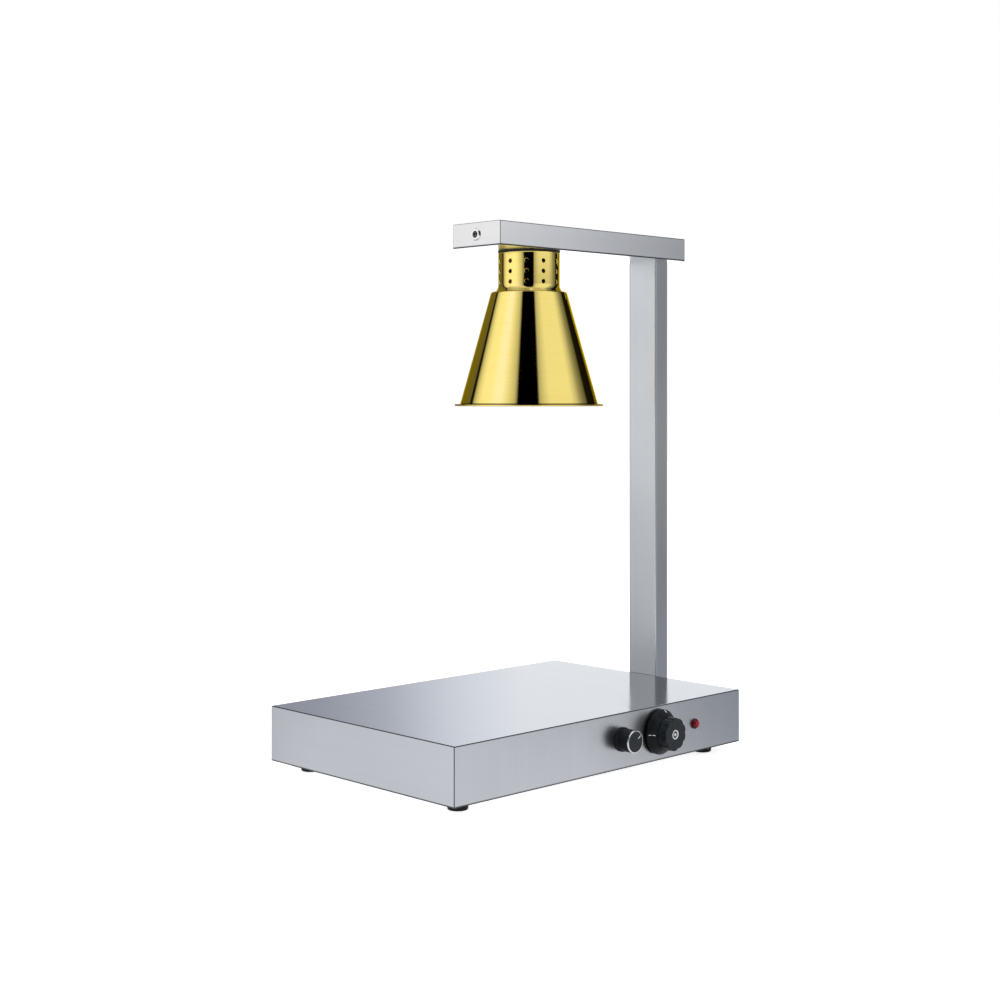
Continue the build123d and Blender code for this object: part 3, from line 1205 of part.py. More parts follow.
def lamp_collar():
    """Spun brass cup with rows of bevelled vents and a flared foot that is cut flat on the shade."""
    slope = COLLAR_FLARE / COLLAR_FLARE_RISE
    line = [
        (NIPPLE_RADIUS + SCREW_CLEARANCE, COLLAR_TOP),
        (COLLAR_RADIUS, COLLAR_TOP),
        (COLLAR_RADIUS, SHADE_TOP + COLLAR_FLARE_RISE),
        (COLLAR_RADIUS + COLLAR_FLARE + slope * BRASS_WALL, SHADE_TOP - BRASS_WALL),
    ]
    collar = spun(line, [COLLAR_CORNER, COLLAR_FLARE_BEND], BRASS_WALL)
    collar -= rod(2 * COLLAR_RADIUS, (0, 0, SHADE_TOP - 2 * BRASS_WALL), (0, 0, SHADE_TOP))
    vent = turned(
        (0, COLLAR_RADIUS - 2 * BRASS_WALL),
        (COLLAR_VENT_RADIUS, COLLAR_RADIUS - 2 * BRASS_WALL),
        (COLLAR_VENT_RADIUS, COLLAR_RADIUS - COLLAR_VENT_BEVEL),
        (COLLAR_VENT_RADIUS + 2 * COLLAR_VENT_BEVEL, COLLAR_RADIUS + COLLAR_VENT_BEVEL),
        (0, COLLAR_RADIUS + COLLAR_VENT_BEVEL),
    )
    for row in range(COLLAR_VENT_ROWS):
        z = COLLAR_TOP - COLLAR_VENT_TOP - row * COLLAR_VENT_PITCH
        for column in range(COLLAR_VENT_COLUMNS):
            angle = radians(COLLAR_VENT_PHASE + column * 360 / COLLAR_VENT_COLUMNS)
            collar -= Plane(origin=(0, 0, z), z_dir=(cos(angle), sin(angle), 0)) * vent
    return lamp(collar)


def lamp_shade():
    """Spun brass cone with a spigot inside the collar, a rounded shoulder and a beaded lip."""
    spigot = COLLAR_RADIUS - BRASS_WALL - SPIGOT_FIT
    foot = SHADE_TOP - SHADE_HEIGHT + BRASS_WALL
    line = [
        (spigot, SHADE_TOP + SPIGOT_HEIGHT),
        (spigot, SHADE_TOP),
        (COLLAR_RADIUS + SHADE_LEDGE, SHADE_TOP),
        (SHADE_FOOT_RADIUS, foot),
        (SHADE_FOOT_RADIUS + SHADE_LIP, foot),
    ]
    shade = spun(line, [SPIGOT_BEND, SHADE_SHOULDER, SHADE_LIP_BEND], BRASS_WALL)
    bead_place = Pos(SHADE_FOOT_RADIUS + SHADE_LIP, foot - BRASS_WALL / 2)
    bead = revolve(Plane.XZ * (bead_place * Circle(SHADE_BEAD_RADIUS)), Axis.Z)
    return lamp(shade + bead)


def lamp_nipple():
    """Hollow threaded tube that clamps arm, ring, collar and lampholder together."""
    top = ARM_BOTTOM + ARM_SHEET + NIPPLE_PROUD
    low = HOLDER_TOP - HOLDER_NECK
    return lamp(rod(NIPPLE_RADIUS, (0, 0, low), (0, 0, top)) - rod(NIPPLE_BORE, (0, 0, low), (0, 0, top)))


SHELL_RADIUS = BULB_CAP_RADIUS + BULB_CAP_CLEARANCE + SHELL_WALL


def lampholder_body():
    """Ceramic lampholder with a threaded neck hole above and a socket below."""
    bottom = HOLDER_TOP - HOLDER_HEIGHT
    neck = NIPPLE_RADIUS + THREAD_CLEARANCE
    neck_low = HOLDER_TOP - HOLDER_NECK
    socket = SHELL_RADIUS + SHELL_CLEARANCE
    wire_room = NIPPLE_BORE
    return lamp(turned(
        (neck, HOLDER_TOP),
        (HOLDER_RADIUS - HOLDER_EDGE, HOLDER_TOP),
        (HOLDER_RADIUS, HOLDER_TOP - HOLDER_EDGE),
        (HOLDER_RADIUS, bottom),
        (socket, bottom),
        (socket, SOCKET_TOP),
        (wire_room, SOCKET_TOP),
        (wire_room, neck_low),
        (neck, neck_low),
    ))


def lampholder_shell():
    """Metal screw shell in the socket, closed at its top."""
    low = SOCKET_TOP - SHELL_LENGTH
    inner = SHELL_RADIUS - SHELL_WALL
    return lamp(turned(
        (0, SOCKET_TOP),
        (SHELL_RADIUS, SOCKET_TOP),
        (SHELL_RADIUS, low),
        (inner, low),
        (inner, SOCKET_TOP - SHELL_WALL),
        (0, SOCKET_TOP - SHELL_WALL),
    ))


def bulb_cap():
    """Screw cap of the bulb: a cup with a centre contact against the shell."""
    shoulder = BULB_TOP - BULB_CAP_TIP_HEIGHT
    low = BULB_TOP - BULB_CAP_LENGTH
    inner = BULB_CAP_RADIUS - BULB_CAP_WALL
    return lamp(turned(
        (0, BULB_TOP),
        (BULB_CAP_TIP_RADIUS, BULB_TOP),
        (BULB_CAP_RADIUS, shoulder),
        (BULB_CAP_RADIUS, low),
        (inner, low),
        (inner, shoulder - BULB_CAP_WALL),
        (0, shoulder - BULB_CAP_WALL),
    ))


def bulb_glass():
    """Reflector bulb: a neck in the cap, a flared body, a short rim and a domed face."""
    neck = BULB_CAP_RADIUS - BULB_CAP_WALL - THREAD_CLEARANCE
    neck_low = BULB_TOP - BULB_CAP_LENGTH
    face_low = BULB_TOP - BULB_LENGTH
    rim_low = face_low + BULB_FACE_RISE
    points = [
        (neck, neck_low + BULB_NECK_LENGTH),
        (neck, neck_low - BULB_SHOULDER_DROP),
        (BULB_SHOULDER_RADIUS, neck_low - 2 * BULB_SHOULDER_DROP),
        (BULB_RADIUS, rim_low + BULB_RIM_HEIGHT),
        (BULB_RADIUS, rim_low),
    ]
    bends = [BULB_BEND, BULB_BEND, BULB_BEND]
    inner_points, inner_bends = beside(points, bends, BULB_GLASS)
    outer = FilletPolyline(*points, radius=bends)
    inner = FilletPolyline(*inner_points, radius=inner_bends)
    outer_face = dome_arc(BULB_RADIUS, rim_low, face_low)
    inner_face = dome_arc(BULB_RADIUS - BULB_GLASS, rim_low, face_low + BULB_GLASS)
    ends = Line(inner @ 0, outer @ 0) + Line(outer_face @ 1, inner_face @ 1)
    outline = outer + outer_face + inner + inner_face + ends
    return lamp(revolve(Plane.XZ * make_face(outline), Axis.Z))


def lamp_cable():
    """Cable from the dimmer through the base wall, up the column and along the arm into the lampholder."""
    back = PANEL_INSIDE + DIMMER_DEPTH
    aisle_y = PANEL_FACE + CABLE_AISLE
    aisle_x = END_FACE - CABLE_END_AISLE
    level = ARM_BOTTOM + CABLE_ARM_LEVEL
    route = [
        (DIMMER_X, back, JOINT_Z),
        (DIMMER_X, aisle_y, JOINT_Z),
        (aisle_x, aisle_y, JOINT_Z),
        (aisle_x, 0, JOINT_Z),
        (COLUMN_X, 0, JOINT_Z),
        (COLUMN_X, 0, level),
        (LAMP_X, 0, level),
        (LAMP_X, 0, HOLDER_TOP - HOLDER_NECK),
    ]
    bends = (CABLE_BEND, CABLE_BEND, CABLE_TURN, CABLE_TURN, CABLE_TURN, CABLE_TURN)
    return cable(route, bends, CABLE_RADIUS)


def base_leads():
    """Single leads from the terminal block and thermostat to the element, dimmer and indicator."""
    thermostat_tip = PANEL_INSIDE + THERMOSTAT_DEPTH + TAB_LENGTH
    dimmer_tip = PANEL_INSIDE + DIMMER_DEPTH + TAB_LENGTH
    indicator_tip = PANEL_FACE + INDICATOR_LENGTH + TAB_LENGTH
    upper_tab = CONTROL_Z + TAB_PITCH
    lower_tab = CONTROL_Z - TAB_PITCH
    indicator_tab = CONTROL_Z - INDICATOR_RADIUS / 2
    wire_level = FLANGE_LEVEL + TERMINAL_HEIGHT / 2
    block_front = TERMINAL_Y - TERMINAL_WIDTH / 2
    wire_y = block_front + TERMINAL_HOLE_DEPTH - LEAD_END_GAP
    ways = terminal_ways()
    pin_tip = ELEMENT_HALF + BEAD_LENGTH + PIN_LENGTH
    side_x = TRAY_RIGHT - TRAY_FLANGE + LEAD_SIDE
    front_lane = TRAY_FRONT - LEAD_LANE
    rear_lane = TRAY_FRONT + LEAD_LANE
    riser_y = block_front - 2 * LEAD_LANE
    indicator_lane = indicator_tip + LEAD_LANE + LEAD_RADIUS
    first_row = element_rows()[0]
    last_row = element_rows()[-1]
    routes = [
        [
            (THERMOSTAT_X, thermostat_tip, upper_tab),
            (THERMOSTAT_X, front_lane, upper_tab),
            (side_x, front_lane, upper_tab),
            (side_x, first_row, upper_tab),
            (side_x, first_row, ELEMENT_Z),
            (pin_tip, first_row, ELEMENT_Z),
        ],
        [
            (ways[3], wire_y, wire_level),
            (ways[3], last_row, wire_level),
            (side_x, last_row, wire_level),
            (side_x, last_row, ELEMENT_Z),
            (pin_tip, last_row, ELEMENT_Z),
        ],
        [
            (ways[2], wire_y, wire_level),
            (ways[2], front_lane, wire_level),
            (ways[2], front_lane, lower_tab),
            (THERMOSTAT_X, front_lane, lower_tab),
            (THERMOSTAT_X, thermostat_tip, lower_tab),
        ],
        [
            (ways[1], wire_y, wire_level),
            (INDICATOR_X, indicator_lane, wire_level),
            (INDICATOR_X, indicator_lane, indicator_tab),
            (INDICATOR_X, indicator_tip, indicator_tab),
        ],
        [
            (ways[0], wire_y, wire_level),
            (ways[0], riser_y, wire_level),
            (ways[0], riser_y, lower_tab),
            (ways[0], rear_lane, lower_tab),
            (DIMMER_X, rear_lane, lower_tab),
            (DIMMER_X, dimmer_tip, lower_tab),
        ],
    ]
    return [cable(route, LEAD_BEND, LEAD_RADIUS) for route in routes]


def save_base():
    save("base_cover", base_cover())
    save("bottom_plate", bottom_plate())
    plate_screws = [(*spot, BASE_BOTTOM) for spot in PLATE_SCREW_SPOTS]
    save("bottom_plate_screws", *[small_screw(seat, UP, PLATE_SCREW_LENGTH) for seat in plate_screws])
    for name, spot in FOOT_SPOTS.items():
        save(name, Pos(*spot, 0) * foot())
    save("foot_screws", *[foot_screw(spot) for spot in FOOT_SPOTS.values()])
    save("foot_nuts", *[large_nut((*spot, FLANGE_LEVEL), UP) for spot in FOOT_SPOTS.values()])
    save("terminal_block", terminal_block())
    block_screws = [(*spot, BASE_BOTTOM) for spot in TERMINAL_SCREW_SPOTS]
    save("terminal_screws", *[small_screw(seat, UP, PLATE_SCREW_LENGTH) for seat in block_screws])
    earth_length = PLATE_SHEET + LARGE_NUT_HEIGHT + SCREW_PROUD
    earth = large_screw((*EARTH_SPOT, BASE_BOTTOM), UP, earth_length)
    save("earth_screw", earth, large_nut((*EARTH_SPOT, FLANGE_LEVEL), UP))
    save("gland_body", gland_body())
    save("gland_dome_nut", gland_dome_nut())
    save("gland_seal", gland_seal())
    locknut_bore = GLAND_THREAD_RADIUS + THREAD_CLEARANCE
    locknut_seat = (GLAND_X, REAR_INSIDE, GLAND_Z)
    save("gland_locknut", nut(locknut_seat, (0, -1, 0), LOCKNUT_FLATS, LOCKNUT_HEIGHT, locknut_bore))
    save("base_leads", *base_leads())


def save_heater():
    save("heat_spreader", heat_spreader())
    save("heating_element", heating_element())
    save("element_terminals", *[element_terminal(y) for y in (element_rows()[0], element_rows()[-1])])
    save("element_clamps", *[element_clamp(x) for x in CLAMP_PLACES])
    clamp_nuts = [small_nut((*spot, CLAMP_LEVEL), DOWN) for spot in CLAMP_STUD_SPOTS]
    tray_nuts = [small_nut((*spot, TOP_INSIDE - TRAY_SHEET), DOWN) for spot in TRAY_STUD_SPOTS]
    save("heater_nuts", *clamp_nuts, *tray_nuts)
    save("insulation_tray", insulation_tray())
    save("insulation_blanket", insulation_blanket())
    save("thermostat_sensor", thermostat_sensor())
    save("sensor_clips", *[sensor_clip(x) for x in clip_places()])


def save_controls():
    save("thermostat_body", thermostat_body())
    screw_places = [THERMOSTAT_X + side * THERMOSTAT_SCREW_PITCH / 2 for side in (-1, 1)]
    screw_seats = [(x, PANEL_FACE, CONTROL_Z) for x in screw_places]
    save("thermostat_screws", *[small_screw(seat, BACK, CONTROL_SCREW_LENGTH) for seat in screw_seats])
    tail = PANEL_INSIDE + SPINDLE_DEPTH
    dial_tip = PANEL_FACE - DIAL_GAP - DIAL_SOCKET
    save("thermostat_spindle", spindle(THERMOSTAT_X, tail, dial_tip, DIAL_SOCKET - HUB_RECESS))
    save("thermostat_knob", thermostat_knob())
    save("thermostat_knob_cap", thermostat_knob_cap())
    save("dimmer_body", dimmer_body())
    bush_bore = BUSH_RADIUS + THREAD_CLEARANCE
    bush_seat = (DIMMER_X, PANEL_FACE, CONTROL_Z)
    save("dimmer_nut", nut(bush_seat, (0, -1, 0), BUSH_NUT_FLATS, BUSH_NUT_HEIGHT, bush_bore))
    dimmer_tip = PANEL_FACE - DIMMER_GAP - DIMMER_SOCKET
    save("dimmer_spindle", spindle(DIMMER_X, tail, dimmer_tip, DIMMER_SOCKET - DIMMER_HOLLOW_DEPTH))
    save("dimmer_knob", dimmer_knob())
    save("dimmer_knob_ring", dimmer_knob_ring())
    save("indicator_lens", indicator_lens())
    save("indicator_body", indicator_body())
    indicator_bore = INDICATOR_RADIUS + THREAD_CLEARANCE
    indicator_seat = (INDICATOR_X, PANEL_INSIDE, CONTROL_Z)
    indicator_nut = nut(indicator_seat, BACK, INDICATOR_NUT_FLATS, INDICATOR_NUT_HEIGHT, indicator_bore)
    save("indicator_nut", indicator_nut)


def save_column_and_arm():
    save("column_tube", column_tube())
    save("column_plug", column_plug())
    save("column_backing_plate", column_backing_plate())
    save("column_nut_plate", column_nut_plate())
    save("column_bolts", *[column_bolt(y, z) for y, z in COLUMN_BOLT_SPOTS])
    save("cable_grommet", cable_grommet())
    save("arm_tube", arm_tube())
    arm_seats = [(*spot, ARM_BOTTOM + ARM_SHEET) for spot in ARM_SCREW_SPOTS]
    save("arm_screws", *[large_screw(seat, DOWN, ARM_SCREW_LENGTH) for seat in arm_seats])
    save("arm_end_cap", arm_end_cap())
    save("end_cap_washer", end_cap_washer())
    save("end_cap_screw", end_cap_screw())


def save_lamp():
    save("lamp_mount_ring", lamp_mount_ring())
    save("lamp_collar", lamp_collar())
    save("lamp_shade", lamp_shade())
    save("lamp_nipple", lamp_nipple())
    nipple_seat = (LAMP_X, 0, ARM_BOTTOM + ARM_SHEET)
    nipple_bore = NIPPLE_RADIUS + THREAD_CLEARANCE
    save("lamp_nipple_nut", nut(nipple_seat, UP, NIPPLE_NUT_FLATS, NIPPLE_NUT_HEIGHT, nipple_bore))
    save("lampholder_body", lampholder_body())
    save("lampholder_shell", lampholder_shell())
    save("bulb_cap", bulb_cap())
    save("bulb_glass", bulb_glass())
    save("lamp_cable", lamp_cable())


os.makedirs("parts", exist_ok=True)
save_base()
save_heater()
save_controls()
save_column_and_arm()
save_lamp()
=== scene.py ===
import bmesh
import bpy
import numpy as np
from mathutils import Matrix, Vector


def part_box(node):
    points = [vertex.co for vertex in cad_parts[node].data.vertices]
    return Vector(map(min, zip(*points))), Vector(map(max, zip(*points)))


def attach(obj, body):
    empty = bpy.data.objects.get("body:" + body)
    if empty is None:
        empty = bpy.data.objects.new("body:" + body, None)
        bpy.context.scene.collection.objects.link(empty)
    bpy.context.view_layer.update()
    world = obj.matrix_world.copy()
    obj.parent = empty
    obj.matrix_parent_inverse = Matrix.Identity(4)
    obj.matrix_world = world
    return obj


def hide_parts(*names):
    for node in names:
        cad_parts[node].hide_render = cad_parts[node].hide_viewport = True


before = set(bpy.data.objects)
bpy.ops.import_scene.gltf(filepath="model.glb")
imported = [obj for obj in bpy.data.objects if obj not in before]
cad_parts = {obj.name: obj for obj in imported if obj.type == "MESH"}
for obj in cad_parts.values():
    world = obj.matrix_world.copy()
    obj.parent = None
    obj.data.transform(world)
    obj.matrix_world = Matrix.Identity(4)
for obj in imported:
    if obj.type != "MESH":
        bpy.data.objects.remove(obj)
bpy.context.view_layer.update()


# Base cover: one stainless sheet folded down on four sides and in again at the bottom. The top and the front
# are ground from front to back, so the grain stands upright on the panel and lies level on the two ends.
def feed(tree, node, sockets):
    """Set or link a node's input sockets by name or number."""
    for name, value in sockets.items():
        if isinstance(value, bpy.types.NodeSocket):
            tree.links.new(value, node.inputs[name])
        else:
            node.inputs[name].default_value = value


def place(tree, kind, sockets=None, **settings):
    """Add a node, set its settings, then feed its input sockets."""
    node = tree.nodes.new(kind)
    for name, value in settings.items():
        setattr(node, name, value)
    feed(tree, node, sockets or {})
    return node


def worked(tree, operation, *values):
    """Result of a Math node on one, two or three values."""
    return place(tree, "ShaderNodeMath", dict(enumerate(values)), operation=operation).outputs[0]


def eased(tree, value, start, end, low=0.0, high=1.0):
    """Value that runs straight from low at start to high at end, and stays there beyond both."""
    ends = {"From Min": start, "From Max": end, "To Min": low, "To Max": high}
    return place(tree, "ShaderNodeMapRange", {"Value": value, **ends}).outputs[0]


def toned(tree, share, first, second, blend="MIX"):
    """Colour that goes from the first to the second with a share."""
    sockets = {"Factor": share, 6: first, 7: second}
    return place(tree, "ShaderNodeMix", sockets, data_type="RGBA", blend_type=blend).outputs[2]


def speckle(tree, vector, scale, detail, distortion=0.0):
    """Soft noise from 0 to 1."""
    sockets = {"Vector": vector, "Scale": scale, "Detail": detail, "Distortion": distortion}
    return place(tree, "ShaderNodeTexNoise", sockets).outputs[0]


def raised(tree, height, strength, depth):
    """Normal of a surface with a fine relief that follows a height, depth in metres."""
    sockets = {"Strength": strength, "Distance": depth, "Height": height}
    return place(tree, "ShaderNodeBump", sockets).outputs[0]


def scaled(tree, vector, scale):
    """Vector with its X, Y and Z drawn out by three scales."""
    return place(tree, "ShaderNodeMapping", {"Vector": vector, "Scale": scale}).outputs[0]


def axes_of(tree, vector):
    """X, Y and Z of a vector by name."""
    return place(tree, "ShaderNodeSeparateXYZ", {"Vector": vector}).outputs


def facing_of(tree, normal):
    """How far a face looks along X, Y and Z by name, either way round."""
    return axes_of(tree, place(tree, "ShaderNodeVectorMath", {0: normal}, operation="ABSOLUTE").outputs[0])


def finish_of(name, **sockets):
    """New material with a Principled surface whose sockets are set by name, with _ for a space."""
    finish = bpy.data.materials.new(name)
    finish.use_nodes = True
    tree = finish.node_tree
    surface = tree.nodes["Principled BSDF"]
    feed(tree, surface, {socket.replace("_", " "): value for socket, value in sockets.items()})
    return finish, tree, surface


def dress(finish, *nodes):
    """Give CAD nodes one finish."""
    for node in nodes:
        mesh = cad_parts[node].data
        mesh.materials.clear()
        mesh.materials.append(finish)


def effect(name, inputs, outputs):
    """New shader node group with float outputs. Returns the group, its inputs and its output node."""
    group = bpy.data.node_groups.new(name, "ShaderNodeTree")
    for label, kind in inputs:
        group.interface.new_socket(label, in_out="INPUT", socket_type=kind)
    for label in outputs:
        group.interface.new_socket(label, in_out="OUTPUT", socket_type="NodeSocketFloat")
    return group, group.nodes.new("NodeGroupInput").outputs, group.nodes.new("NodeGroupOutput")


def add_effect(tree, group, **sockets):
    """Place an effect in a material with its own values. Returns its outputs by name."""
    return place(tree, "ShaderNodeGroup", sockets, node_tree=group).outputs


# Ground metal: fine scratches that are long in one direction, on slower streaks of the same direction.
streak_scale = 0.04
grain, grain_in, grain_out = effect("ground_grain", [("Vector", "NodeSocketVector")], ["Tone", "Height"])
fine = speckle(grain, grain_in["Vector"], scale=1.0, detail=4.0)
slow = place(grain, "ShaderNodeVectorMath", {0: grain_in["Vector"], "Scale": streak_scale}, operation="SCALE")
streak = speckle(grain, slow.outputs[0], scale=1.0, detail=2.0)
half = worked(grain, "MULTIPLY", worked(grain, "ADD", fine, streak), 0.5)
feed(grain, grain_out, {"Tone": half, "Height": fine})

# Handling: cloudy patches where a cloth or a hand has left the metal a little duller.
haze_starts, haze_full = 0.35, 0.65
haze_sockets = [("Vector", "NodeSocketVector"), ("Scale", "NodeSocketFloat")]
haze, haze_in, haze_out = effect("handling_haze", haze_sockets, ["Mask"])
cloud = speckle(haze, haze_in["Vector"], haze_in["Scale"], detail=5.0)
feed(haze, haze_out, {"Mask": eased(haze, cloud, haze_starts, haze_full)})

# Bends: painted shade, darker where the face turns from one straight wall to the next.
bend_starts, bend_full, bend_share = 0.97, 0.88, 0.92
bend, bend_in, bend_out = effect("painted_bend_shade", [("Normal", "NodeSocketVector")], ["Mask"])
looks = facing_of(bend, bend_in["Normal"])
level_look = worked(bend, "MAXIMUM", looks["X"], looks["Y"])
largest_look = worked(bend, "MAXIMUM", level_look, looks["Z"])
feed(bend, bend_out, {"Mask": eased(bend, largest_look, bend_starts, bend_full, high=bend_share)})


def ground_metal(
    name, dark, light, gloss, grain_scale, end_scale=None, level_gloss=None, bump=0.12, shaded_bends=True,
    edge_shade_level=None, **sockets
):
    """Ground sheet metal. Tone runs from dark to light with the grain, and roughness over gloss with the
    haze. grain_scale sets how fine the grain is along X, Y and Z, and end_scale does so on faces across X.
    level_gloss is the gloss of faces that lie level. Painted shade darkens a sheet with shaded bends along
    its bends, and along its lower edge if that edge's level is given. Other sockets of the surface are set by
    name."""
    square_on, haze_scale, scratch_depth = 0.7, 9.0, 0.0001
    edge_shade_starts, edge_shade_full = 0.0024, 0.0012
    bend_shade_grey = (0.06, 0.063, 0.07, 1.0)
    finish, tree, surface = finish_of(name, Metallic=1.0, **sockets)
    spot = place(tree, "ShaderNodeTexCoord").outputs
    facing = facing_of(tree, spot["Normal"])
    vector = scaled(tree, spot["Object"], grain_scale)
    if end_scale:
        end = worked(tree, "GREATER_THAN", facing["X"], square_on)
        ends = {"Factor": end, 4: vector, 5: scaled(tree, spot["Object"], end_scale)}
        vector = place(tree, "ShaderNodeMix", ends, data_type="VECTOR").outputs[1]
    ground = add_effect(tree, grain, Vector=vector)
    dull = add_effect(tree, haze, Vector=spot["Object"], Scale=haze_scale)["Mask"]
    tone = toned(tree, ground["Tone"], dark, light)
    # Painted shade: a dark line along the bends, and along the lower edge of upright faces near the given
    # level.
    if shaded_bends:
        line = add_effect(tree, bend, Normal=spot["Normal"])["Mask"]
        if edge_shade_level is not None:
            height = axes_of(tree, spot["Object"])["Z"]
            low = eased(tree, height, edge_shade_level + edge_shade_starts, edge_shade_level + edge_shade_full)
            upright = worked(tree, "LESS_THAN", facing["Z"], square_on)
            line = worked(tree, "MAXIMUM", line, worked(tree, "MULTIPLY", low, upright))
        tone = toned(tree, line, tone, bend_shade_grey)
    rough = eased(tree, dull, 0.0, 1.0, *gloss)
    if level_gloss:
        level = worked(tree, "GREATER_THAN", facing["Z"], square_on)
        flat = eased(tree, dull, 0.0, 1.0, *level_gloss)
        rough = place(tree, "ShaderNodeMix", {"Factor": level, 2: rough, 3: flat}).outputs[0]
    relief = raised(tree, ground["Height"], bump, scratch_depth)
    feed(tree, surface, {"Base Color": tone, "Roughness": rough, "Normal": relief})
    return finish


steel_dark, steel_light = (0.5, 0.52, 0.56, 1.0), (0.58, 0.605, 0.645, 1.0)
# Painted shade darkens the cover's bends and its lower edge.
cover_steel = ground_metal(
    "ground_stainless_cover", steel_dark, steel_light, gloss=(0.28, 0.34), grain_scale=(1400, 6, 6),
    end_scale=(1, 6, 1400), level_gloss=(0.1, 0.15), edge_shade_level=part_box("base_cover")[0][2],
    Specular_Tint=(0.63, 0.63, 0.63, 1.0),
)
dress(cover_steel, "base_cover")


# Bottom plate: a flat plate of thinner stainless with punched vents, left as the mill rolled it. Screws hold
# it to the edges of the cover that are folded in.
# Painted shade darkens the plate where its face turns at rounded edges.
plate_steel = ground_metal(
    "rolled_stainless_plate", steel_dark, steel_light, gloss=(0.34, 0.42), grain_scale=(5, 900, 900)
)
dress(plate_steel, "bottom_plate")


# Fasteners and small pressings: screws, nuts, bolts, spindles, clips, tray and backing plates, of steel that
# is turned or pressed and zinc plated. The plating is a little clouded.
def clouded(name, dark, light, gloss, cloud_scale, bump, speck_scale, **sockets):
    """Finish whose tone and roughness drift with soft clouds, over a fine speckled relief."""
    speck_depth = 0.0002
    finish, tree, surface = finish_of(name, **sockets)
    spot = place(tree, "ShaderNodeTexCoord").outputs["Object"]
    mask = add_effect(tree, haze, Vector=spot, Scale=cloud_scale)["Mask"]
    tone = toned(tree, mask, dark, light)
    rough = eased(tree, mask, 0.0, 1.0, *gloss)
    relief = raised(tree, speckle(tree, spot, speck_scale, detail=3.0), bump, speck_depth)
    feed(tree, surface, {"Base Color": tone, "Roughness": rough, "Normal": relief})
    return finish


plated_steel = clouded(
    "zinc_plated_steel", (0.46, 0.47, 0.49, 1.0), (0.62, 0.63, 0.63, 1.0), gloss=(0.25, 0.4),
    cloud_scale=120.0, bump=0.1, speck_scale=1800.0, Metallic=1.0,
)
dress(
    plated_steel, "bottom_plate_screws", "foot_screws", "foot_nuts", "terminal_screws", "earth_screw",
    "heater_nuts", "element_clamps", "thermostat_screws", "sensor_clips", "insulation_tray", "dimmer_nut",
    "indicator_nut", "column_backing_plate", "column_nut_plate", "column_bolts", "arm_screws", "lamp_nipple",
    "lamp_nipple_nut", "thermostat_spindle", "dimmer_spindle",
)


# Feet, grommet and gland seal: black rubber, moulded, with a dull skin that picks up dust. A screw and a nut
# hold each foot. The grommet and the seal are pressed in.
rubber = clouded(
    "black_rubber", (0.012, 0.012, 0.013, 1.0), (0.026, 0.026, 0.027, 1.0), gloss=(0.55, 0.75),
    cloud_scale=90.0, bump=0.3, speck_scale=1500.0, Specular_IOR_Level=0.15,
)
dress(
    rubber, "foot_front_left", "foot_front_right", "foot_rear_left", "foot_rear_right", "cable_grommet",
    "gland_seal",
)


# Heater: an aluminium spreader plate, and a nickel-alloy tube bent to and fro that bars clamp to it, with
# ceramic beads on its two ends. The sensor, and the lamp's own contacts, are of copper alloy.
# Painted shade darkens the spreader where its face turns at rounded edges.
aluminium = ground_metal(
    "rolled_aluminium", (0.66, 0.67, 0.68, 1.0), (0.8, 0.8, 0.81, 1.0), gloss=(0.3, 0.42),
    grain_scale=(4, 700, 700),
)
dress(aluminium, "heat_spreader")
element_sheath = clouded(
    "heat_tinted_sheath", (0.09, 0.075, 0.06, 1.0), (0.2, 0.18, 0.16, 1.0), gloss=(0.4, 0.6),
    cloud_scale=40.0, bump=0.2, speck_scale=1200.0, Metallic=1.0,
)
dress(element_sheath, "heating_element")
ceramic = clouded(
    "glazed_ceramic", (0.72, 0.69, 0.63, 1.0), (0.83, 0.81, 0.77, 1.0), gloss=(0.25, 0.45),
    cloud_scale=60.0, bump=0.15, speck_scale=900.0,
)
dress(ceramic, "element_terminals")
copper_alloy = clouded(
    "dulled_copper_alloy", (0.55, 0.36, 0.16, 1.0), (0.75, 0.55, 0.28, 1.0), gloss=(0.25, 0.45),
    cloud_scale=110.0, bump=0.1, speck_scale=1600.0, Metallic=1.0,
)
dress(copper_alloy, "thermostat_sensor", "lampholder_shell", "bulb_cap")


# Insulation blanket: a slab cut from a mat of mineral wool strands. It lies loose in its tray under the
# heater, and its edges are soft.
def piece_of(name, points, wrap_rows=False, wrap_columns=False):
    """Mesh object from a grid of points: rows by columns by 3. Wrapped sides join, and equal points merge."""
    rows, columns = points.shape[:2]
    index = np.arange(rows * columns).reshape(rows, columns)
    if wrap_rows:
        index = np.vstack([index, index[:1]])
    if wrap_columns:
        index = np.hstack([index, index[:, :1]])
    corners = (index[:-1, :-1], index[1:, :-1], index[1:, 1:], index[:-1, 1:])
    quads = np.stack(corners, axis=-1).reshape(-1, 4)
    mesh = bpy.data.meshes.new(name)
    mesh.from_pydata(points.reshape(-1, 3).tolist(), [], quads.tolist())
    shell = bmesh.new()
    shell.from_mesh(mesh)
    bmesh.ops.remove_doubles(shell, verts=shell.verts, dist=1e-7)
    bmesh.ops.recalc_face_normals(shell, faces=shell.faces)
    shell.to_mesh(mesh)
    shell.free()
    mesh.shade_smooth()
    piece = bpy.data.objects.new(name, mesh)
    bpy.context.scene.collection.objects.link(piece)
    return piece


